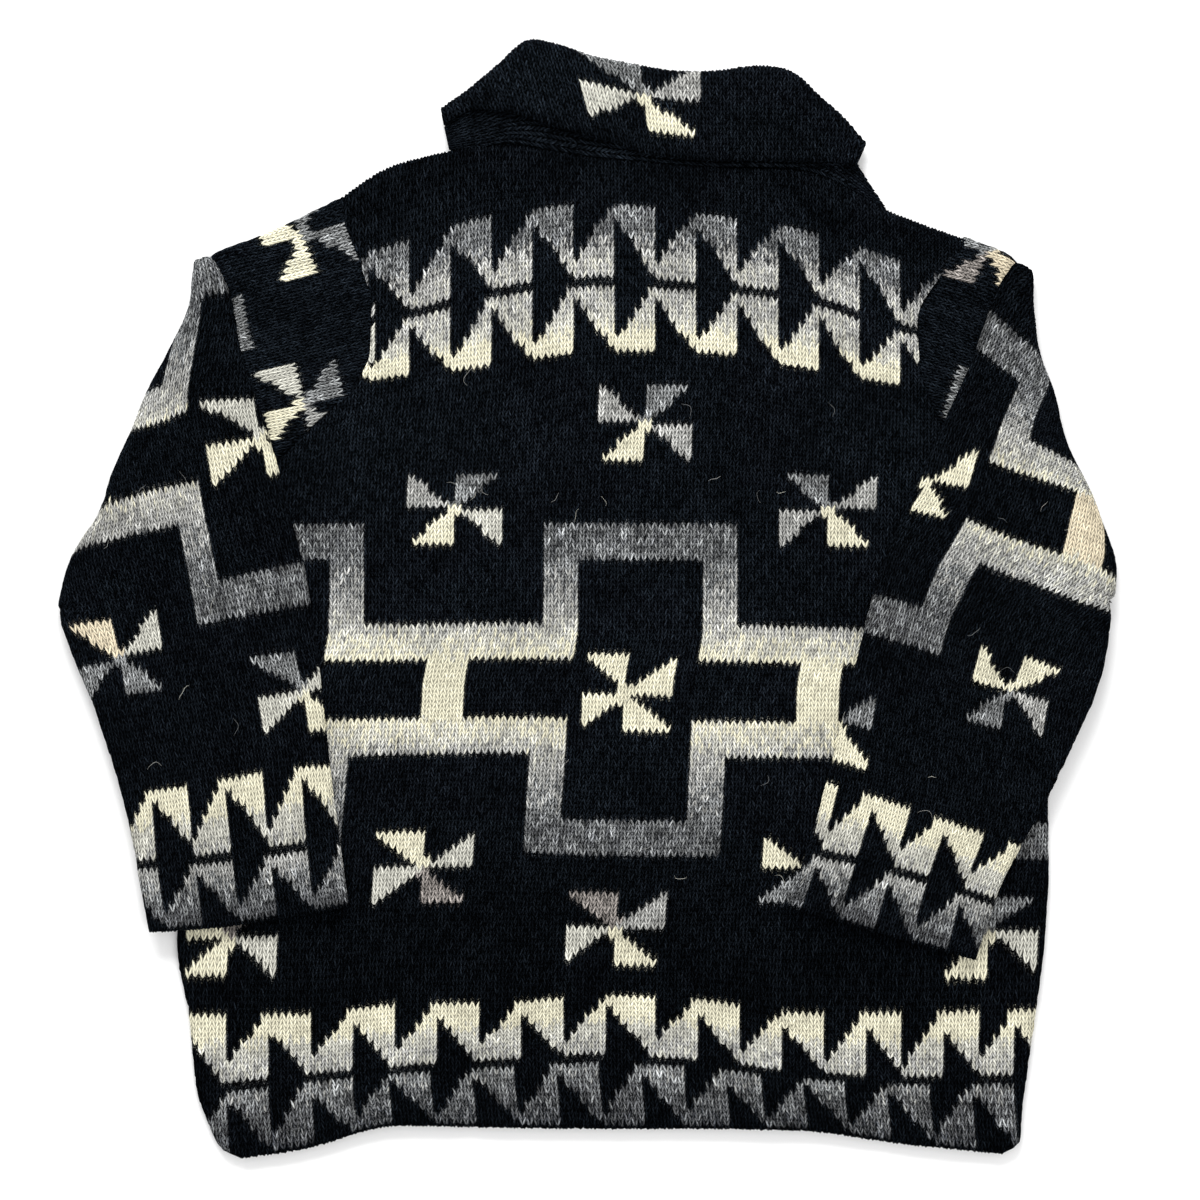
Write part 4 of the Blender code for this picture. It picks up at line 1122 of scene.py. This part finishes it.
def sleeve_parts(name, table, top_table, side, seed):
    tx, ty, ux, uy = table[0]
    size = math.hypot(ux - tx, uy - ty)
    fx, fy = (ux - tx) / size, (uy - ty) / size
    nx, ny = (-fy, fx)
    if nx * side < 0:
        nx, ny = -nx, -ny
    around = math.pi * AXIS / PX              # plan units round the fold's outside
    curve = SIDE_LEFT if side < 0 else SIDE_RIGHT

    keys_v = np.array([r[0] for r in top_table], float)
    px = np.array([[p[0] for p in r[1:]] for r in top_table], float)
    py = np.array([[p[1] for p in r[1:]] for r in top_table], float)
    keys_c = np.array(STITCH_KEYS, float)

    def table_at(grid, c, v):
        flat_c, flat_v = c.ravel(), v.ravel()
        m = _slopes(keys_c, grid.T, False)             # (6, rows)
        cols = np.stack([_curve(keys_c, grid[k], m[:, k], flat_c) for k in range(len(keys_v))])
        mv = _slopes(keys_v, cols, False)
        return _curve(keys_v, cols, mv, flat_v, np.arange(len(flat_c))).reshape(c.shape)

    def position(c, v):
        c, v = np.broadcast_arrays(np.asarray(c, float), np.asarray(v, float))
        return table_at(px, c, v), table_at(py, c, v)

    def outward(x, y):
        return (x - tx) * nx + (y - ty) * ny

    bent = smooth([r[0] for r in BEND], [r[1 if side < 0 else 2] for r in BEND], False)
    peak = 9.0 if side < 0 else 12.5
    steep = abs(nx)

    def warp(x, y):
        """Plan points moved so that the folded edge bends."""
        d = outward(x, y)
        shift = bent(np.clip(y, 262, 640)) * steep * soft((d + 78) / 78)
        along = (x - ux) * fx + (y - uy) * fy
        swell = np.exp(-(along / np.where(along > 0, 22.0, 8.0)) ** 2) \
            * soft((d + 45) / 45) * (1 - np.clip(d / 12.5, 0, 1))
        shift = shift - (9.5 if side < 0 else 6.0) * swell
        # the shoulder stands out at the top of the fold
        out = (x - tx) * fx + (y - ty) * fy
        out = peak * np.exp(-(out / 40.0) ** 2 - ((d + 10) / 45.0) ** 2) * (1 - 0.8 * ramp(d, -4, 10))
        return x - shift * nx - out * fx, y - shift * ny - out * fy

    # outline of the front half, spread flat past the fold
    rows_hole = list(range(193, 124, -4)) + [125]
    hole, tuck = [], []
    for r in rows_hole:
        hx = float(curve(float(r)))
        hole.append((hx + side * 0.3, float(row_y(hx, float(r)))))
        tuck.append((hx - side * 8.0, float(row_y(hx, float(r))) + 1.0))
    spread = []
    for hx, hy in hole:
        d = -outward(hx, hy)
        spread.append((hx + (2 * d + around) * nx, hy + (2 * d + around) * ny))
    shoulder = [(r[0], r[1]) for r in table]
    under = [(r[2], r[3]) for r in table]
    # the cuff's turned edge lies a little past the solid's end
    ax, ay = shoulder[-1][0] - shoulder[-2][0], shoulder[-1][1] - shoulder[-2][1]
    bx, by = under[-1][0] - under[-2][0], under[-1][1] - under[-2][1]
    ends_t = [(shoulder[-1][0] + ax * k, shoulder[-1][1] + ay * k) for k in (0.4, 1.5)]
    ends_u = [(under[-1][0] + bx * k, under[-1][1] + by * k) for k in (0.4, 1.5)]
    wide = EXTRA / PX

    def widen(points, away):
        moved = []
        for k, (x, y) in enumerate(points):
            a = points[max(0, k - 1)]
            b = points[min(len(points) - 1, k + 1)]
            dx, dy = b[0] - a[0], b[1] - a[1]
            n = math.hypot(dx, dy)
            ox, oy = dy / n, -dx / n
            if ox * away[0] + oy * away[1] < 0:
                ox, oy = -ox, -oy
            moved.append((x + ox * wide, y + oy * wide))
        return moved

    t_line = shoulder + ends_t
    u_line = under + ends_u
    t_wide = widen(t_line, (-side, -0.3))
    u_wide = widen(u_line, (side, 0.3))
    fold_t = (shoulder[0][0] + around * nx, shoulder[0][1] + around * ny)
    fold_u = (under[0][0] + around * nx, under[0][1] + around * ny)
    poly = t_wide[::-1] + [fold_t] + spread + [fold_u] + u_wide

    columns, rows = (-14, 62), (-5, 172)
    limits, last = make_limits(lambda c, v: position(c, np.maximum(v, 0)), poly, columns, (0, 172))
    crease_name = "left" if side < 0 else "right"

    def local(c, v, outer):
        """Stitches from the edges' turn, and the height above the middle."""
        vv = np.maximum(v, 0)
        lo, hi = limits(vv)
        gauge = 4.7
        sl, sr = (c - lo) * gauge, (hi - c) * gauge
        closed = ramp(-vv, -118, -104)
        il, hl = roll_in(sl)
        ir, hr = roll_in(sr)
        shift = np.where(sl < sr, il - (sl - EXTRA), -(ir - (sr - EXTRA))) / gauge
        near = np.where(sl < sr, sl, sr) < HALF * math.pi / 2
        cc = np.where(near, c + shift, c)
        high = np.minimum(hl, hr)
        return cc, high, sl, sr

    def surface(c, v):
        cc, high, sl, sr = local(c, v, True)
        out, down = hem_turn(v)
        vv = np.maximum(v, 0) - out / ROW * (v < 0)
        x, y = position(cc, vv)
        d = outward(x, y)
        lump = (creases(crease_name, x, y) + 0.45 * bumps(x, y, 55.0, seed, 3)) \
            * ramp(np.minimum(sl, sr), 2, 12) * ramp(-d, -2, 14)
        h = high + lump - down * np.clip(high / HALF, 0.05, 1)
        h = h + 0.6 * np.exp(-((v - 0.8) / 1.3) ** 2) * (v >= 0) * (high / HALF)
        mid_r = AXIS - HALF
        angle = np.clip(d * PX / AXIS, 0, math.pi)
        r = mid_r + h
        past = np.maximum(0, d - around)
        side_out = np.where(d > 0, r * np.sin(angle) / PX - past, d)
        z = np.maximum(np.where(d > 0, AXIS + r * np.cos(angle), AXIS + r), 0.6)
        # the fold lies flatter where it meets the shoulder
        top_end = np.exp(-(np.maximum((x - tx) * fx + (y - ty) * fy, 0) / 30.0) ** 2)
        z = np.where(z > AXIS, AXIS + (z - AXIS) * (1 - 0.5 * top_end), z)
        bx_, by_ = x - d * nx, y - d * ny
        return world(*warp(bx_ + side_out * nx, by_ + side_out * ny), z)

    chart = sleeve_chart(side)
    front = knit_shell(name, surface, chart, columns, (-5, int(last) + 1),
                       limits=lambda v: limits(np.maximum(v, 0)), relief=1.0, seed=seed,
                       # painted shade: the near-black yarn of the folded sleeves is darker
                       facing=-1.0 if side < 0 else 1.0, painted_ink_light=((0, 0.80), (200, 0.80)))

    # the folded part's other half, which lies on the back
    def under_surface(c, v):
        cc, high, sl, sr = local(c, v, False)
        out, down = hem_turn(v)
        vv = np.maximum(v, 0) - out / ROW * (v < 0)
        x, y = position(cc, vv)
        mid = AXIS + (AXIS - HALF)
        return world(*warp(x, y), mid - high + down * np.clip(high / HALF, 0.05, 1) + 0.5)

    fold_poly = t_wide[::-1] + u_wide
    under_limits, under_last = make_limits(lambda c, v: position(c, np.maximum(v, 0)),
                                           fold_poly, columns, (0, 172))
    under_part = knit_shell(name, under_surface, chart, columns, (-5, int(under_last) + 1),
                            limits=lambda v: under_limits(np.maximum(v, 0)), relief=0.6,
                            seed=seed + 2, step=2, each=1, facing=1.0 if side < 0 else -1.0)

    # the other half between the fold and the armhole, face up
    if side < 0:
        origin, toward, down_c = (304.0, 235.0), (0.951, -0.309), (0.309, 0.951)
    else:
        origin, toward, down_c = (989.0, 259.0), (-0.924, -0.383), (-0.383, 0.924)

    def cap_position(c, v):
        c, v = np.broadcast_arrays(np.asarray(c, float), np.asarray(v, float))
        turn = 0.0011 * (c * 6.4)
        a, b = (v - 141.0) * 5.0, c * 6.4
        ex, ey = toward[0] + turn * down_c[0] * 0.6, toward[1] + turn * down_c[1] * 0.6
        bow = -side * 0.11 * b * (1 - b / 170.0)
        return origin[0] + a * ex + b * down_c[0] + bow, origin[1] + a * ey + b * down_c[1]

    cap_t = [shoulder[0], hole[0]]
    cap_u = [hole[-1], under[0]]
    cap_t_wide = widen(cap_t, (-side * 0.5, -1.0))
    cap_u_wide = widen(cap_u, (side * 0.3, 1.0))
    beyond = 4.0
    cap_poly = ([(cap_t_wide[0][0] + beyond * nx, cap_t_wide[0][1] + beyond * ny)]
                + [cap_t_wide[1]] + tuck + [cap_u_wide[0]]
                + [(cap_u_wide[1][0] + beyond * nx, cap_u_wide[1][1] + beyond * ny)])
    cap_columns, cap_rows = (-16, 60), (96, 176)
    cap_limits, _ = make_limits(cap_position, cap_poly, cap_columns, cap_rows)
    cap_name = "capl" if side < 0 else "capr"
    t0, t1 = cap_t
    u0, u1 = cap_u

    def line_distance(x, y, a, b):
        dx, dy = b[0] - a[0], b[1] - a[1]
        return ((x - a[0]) * dy - (y - a[1]) * dx) / math.hypot(dx, dy)

    hole_x = np.array([h[0] for h in hole])
    hole_y = np.array([h[1] for h in hole])
    order = np.argsort(hole_y)

    def cap_surface(c, v):
        x, y = cap_position(c, v)
        # distance in from the turned edges, and from the armhole seam
        dt = np.abs(line_distance(x, y, t0, t1)) * np.sign(
            (line_distance(x, y, t0, t1)) * line_distance(*[np.array(q) for q in (
                (t0[0] + u1[0]) / 2, (t0[1] + u1[1]) / 2)], t0, t1))
        du = line_distance(x, y, u0, u1) * np.sign(line_distance(np.array((t0[0] + u0[0]) / 2),
                                                                 np.array((t0[1] + u0[1]) / 2), u0, u1))
        st, su = dt * PX + EXTRA, du * PX + EXTRA
        it, ht = roll_in(st)
        iu, hu = roll_in(su)
        shift = np.where(st < su, it - (st - EXTRA), 0) / PX
        # inward direction from the shoulder edge
        dx, dy = t1[0] - t0[0], t1[1] - t0[1]
        n = math.hypot(dx, dy)
        inx, iny = dy / n, -dx / n
        if (u1[0] - t0[0]) * inx + (u1[1] - t0[1]) * iny < 0:
            inx, iny = -inx, -iny
        x, y = x + shift * inx, y + shift * iny
        high = np.minimum(ht, hu)
        seam_x = np.interp(y, hole_y[order], hole_x[order])
        past = (seam_x - x) * side * PX
        off = np.abs(past) * 0.85
        lump = creases(cap_name, x, y) + 0.4 * bumps(x, y, 40.0, seed + 3, 3)
        z = HALF + high - 1.4 * np.exp(-(off / 1.8) ** 2) - 1.6 * soft(past / 2.5) \
            + lump * ramp(st, 2, 12) * ramp(off, 0.5, 8)
        return world(*warp(x, y), np.maximum(z, 0.8))

    def cap_chart(c, v, rng):
        out = np.full(c.shape, INK)
        if side < 0:
            pinwheel(out, c, v, -0.4, 141.4, "A", ("grey", "cream", "grey", "cream"), half=6.2, high=8.2)
            pinwheel(out, c, v, 25.6, 131.0, "B", ("grey", "cream", "white", "light"), half=6.2, high=8.0)
            bar = (v <= 123.5) & (v >= 117) & (c <= 14.9) & (c >= 6)
        else:
            pinwheel(out, c, v, 0, 141, "B", ("grey", "beige", "light", "pink"), half=5.4, high=8.4)
            bar = (v <= 137.6) & (v >= 120) & (c >= 17.5) & (c <= 26)
        out[bar] = tone("grey")
        return out

    cap = knit_shell(name, cap_surface, cap_chart, cap_columns, (97, 176),
                     limits=cap_limits, relief=1.0, seed=seed + 4,
                     # painted light: the near-black yarn of the caps is lighter
                     facing=1.0 if side < 0 else -1.0, painted_ink_light=((0, 1.2), (200, 1.2)))
    loose = stray_fibres(surface, scatter(seed, 9, (4, 26), (20, 95)), seed + 8)
    return [front, under_part, cap, loose]


# ---------------------------------------------------------------- collar
def collar_parts(seed):
    keys = np.arange(len(COLLAR), dtype=float)
    cols = [smooth(keys, [r[i] for r in COLLAR], False) for i in range(6)]
    seam_x, seam_y, fold_x, fold_y, free_x, free_y = cols
    neck = 9.0
    radius = neck - (WALL + SLOT)
    # stitches are even along the middle of the outer layer
    ks = np.linspace(0, len(COLLAR) - 1, 400)
    mx = (fold_x(ks) + free_x(ks)) / 2
    count = 60

    def section(c):
        return np.interp(mx[0] + (mx[-1] - mx[0]) * c / count, mx, ks)

    def surface(c, v):
        k = section(np.clip(c, 0, count))
        gx, gy, ex, ey, sx, sy = fold_x(k), fold_y(k), free_x(k), free_y(k), seam_x(k), seam_y(k)
        length = np.hypot(gx - ex, gy - ey) * PX
        dx, dy = (gx - ex) * PX / length, (gy - ey) * PX / length
        flat = np.maximum(length - radius, 0.5)
        s = v * ROW
        out, down = hem_turn(v)
        turn = np.clip((s - flat) / radius, 0, math.pi)
        past = np.maximum(0, s - flat - radius * math.pi)
        along = np.where(s > flat, flat + radius * np.sin(turn) - past, np.maximum(s, 0))
        along = along - out
        z = neck + radius * np.cos(turn) + 0.3
        room = ramp(s, 0, 5) * ramp(-np.abs(turn), -0.9, 0.0)
        x = ex + dx * along / PX
        y = ey + dy * along / PX
        z = z + (0.7 * bumps(x, y, 50.0, seed, 3)
                 + 1.6 * np.exp(-((x - 560) / 90) ** 2)
                 + 1.0 * np.exp(-((x - 770) / 60) ** 2)) * room
        z = z - down + 0.5 * np.exp(-((v - 1.0) / 1.5) ** 2) * (v >= 0)
        # the ends turn down
        end = np.minimum(c, count - c)
        z = z - 2.2 * (1 - soft(end / 1.2)) * ramp(-turn, -1.2, 0)
        return world(x, y, z)

    def chart(c, v, rng):
        out = np.full(c.shape, INK)
        c0 = (643.0 - mx[0]) / (mx[-1] - mx[0]) * count
        pinwheel(out, c, v, c0, 11.9, "B", ("grey", "cream", "white", "light"), half=8.2, high=7.0)
        return out

    outer = knit_shell("collar", surface, chart, (0, count), (-3, 36), relief=0.9, seed=seed)

    # neck stand, knitted sideways, under the fold
    def stand(c, v):
        k = section(np.clip(v * count / 84.0, 0, count))
        sx, sy, gx, gy = seam_x(k), seam_y(k), fold_x(k), fold_y(k)
        t = np.clip(c / 9.0, 0, 1)
        size = np.hypot(gx - sx, gy - sy)
        reach = np.maximum(size - radius / PX, 1)
        x = sx + (gx - sx) * t * reach / size
        y = sy + (gy - sy) * t * reach / size
        z = STACK + 0.1 - 1.2 * np.exp(-(t * 9 / 1.0) ** 2) + 0.25 * bumps(x, y, 30.0, 4)
        return world(x, y, z)

    inner = knit_shell("collar", stand, None, (0, 9), (0, 84), relief=0.9, seed=seed + 1,
                       facing=-1.0)
    return [outer, inner]


# ---------------------------------------------------------------- stage
def make_camera():
    data = bpy.data.cameras.new("camera")
    distance = 4.0
    data.sensor_width = 36.0
    data.lens = 36.0 * distance / (1200 * UNIT)
    data.clip_end = 50
    cam = bpy.data.objects.new("camera", data)
    cam.location = ((600 - PLAN_X) * UNIT, (PLAN_Y - 600) * UNIT, distance + 0.010)
    bpy.context.scene.collection.objects.link(cam)
    bpy.context.scene.camera = cam


def make_light():
    world_ = bpy.data.worlds.new("studio")
    bpy.context.scene.world = world_
    world_.use_nodes = True
    back = world_.node_tree.nodes["Background"]
    back.inputs["Color"].default_value = (1.0, 1.0, 1.0, 1)
    back.inputs["Strength"].default_value = 0.76

    def area(name, at, size, power):
        data = bpy.data.lights.new(name, "AREA")
        data.shape = "RECTANGLE"
        data.size, data.size_y = size
        data.energy = power
        lamp = bpy.data.objects.new(name, data)
        lamp.location = at
        bpy.context.scene.collection.objects.link(lamp)
        lamp.rotation_mode = "QUATERNION"
        lamp.rotation_quaternion = Vector([-a for a in at]).to_track_quat("-Z", "Y")

    area("key", (-0.45, 2.3, 1.7), (1.8, 1.0), 94)
    area("fill", (0.9, -1.0, 2.8), (2.2, 2.2), 26)


def make_floor():
    mesh = bpy.data.meshes.new("floor")
    s = 6.0
    mesh.from_pydata([(-s, -s, 0), (s, -s, 0), (s, s, 0), (-s, s, 0)], [], [(0, 1, 2, 3)])
    floor = bpy.data.objects.new("floor", mesh)
    bpy.context.scene.collection.objects.link(floor)
    mat = bpy.data.materials.new("floor")
    mat.use_nodes = True
    tree = mat.node_tree
    shader = tree.nodes["Principled BSDF"]
    noise = tree.nodes.new("ShaderNodeTexNoise")
    noise.inputs["Scale"].default_value = 3.0
    spread = tree.nodes.new("ShaderNodeMix")
    spread.data_type = "RGBA"
    spread.inputs[6].default_value = (0.945, 0.945, 0.945, 1)
    spread.inputs[7].default_value = (0.960, 0.960, 0.960, 1)
    tree.links.new(noise.outputs["Fac"], spread.inputs[0])
    tree.links.new(spread.outputs[2], shader.inputs["Base Color"])
    shader.inputs["Roughness"].default_value = 0.9
    shader.inputs["Specular IOR Level"].default_value = 0.1
    mesh.materials.append(mat)


# ---------------------------------------------------------------- build
make_camera()
make_light()
make_floor()
bpy.context.scene.view_settings.view_transform = "Standard"

BODY = knit_material("body_knit")
SLEEVE = knit_material("sleeve_knit")
NECK = knit_material("collar_knit")
BAND = knit_material("band_knit")


def finish_piece(obj, mat, node):
    obj.data.materials.append(mat)
    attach(obj, "root")
    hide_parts(node)
    tris = sum(len(p.vertices) - 2 for p in obj.data.polygons)
    print(f"{obj.name}: {tris} triangles")
    return tris


back = join("back_knit", [knit_shell("back", body_surface, body_chart, (-68, 66), (-4, 194),
                                     limits=body_limits, seed=11,
                                     # painted shade on the near-black yarn: darker towards the hem and
                                     # under the collar
                                     painted_ink_light=((0, 0.62), (42, 0.62), (58, 0.9), (80, 1.0),
                                            (180, 1.0), (193, 0.7))),
                          stray_fibres(body_surface, [(-26.2, 151.5, 3.4, 1.3, -1.0),
                                                      (-24.8, 125.5, 1.6, 1.0, 0.4)]
                                       + scatter(5, 22, (-34, 30), (20, 150)), 6)])
total = finish_piece(back, BODY, "back")
for side, word, area_ in ((-1, "left", 0.162), (1, "right", 0.150)):
    front = join("front_knit_" + word, [knit_shell(
        "front", front_surface(side), body_chart, (-68, 66), (-3, 193),
        limits=front_limits(side), seed=21 + side, facing=-1.0, step=2)])
    total += finish_piece(front, BODY, "front_" + word)
    band = join("band_knit_" + word, band_shell("band", side, 31 + side))
    total += finish_piece(band, BAND, "band_" + word)
    sleeve = join("sleeve_knit_" + word, sleeve_parts(
        "sleeve", SLEEVE_LEFT if side < 0 else SLEEVE_RIGHT,
        TOP_LEFT if side < 0 else TOP_RIGHT, side, 51 + 10 * side))
    total += finish_piece(sleeve, SLEEVE, "sleeve_" + word)
collar = join("collar_knit", collar_parts(71))
total += finish_piece(collar, NECK, "collar")
print("triangles in all:", total)
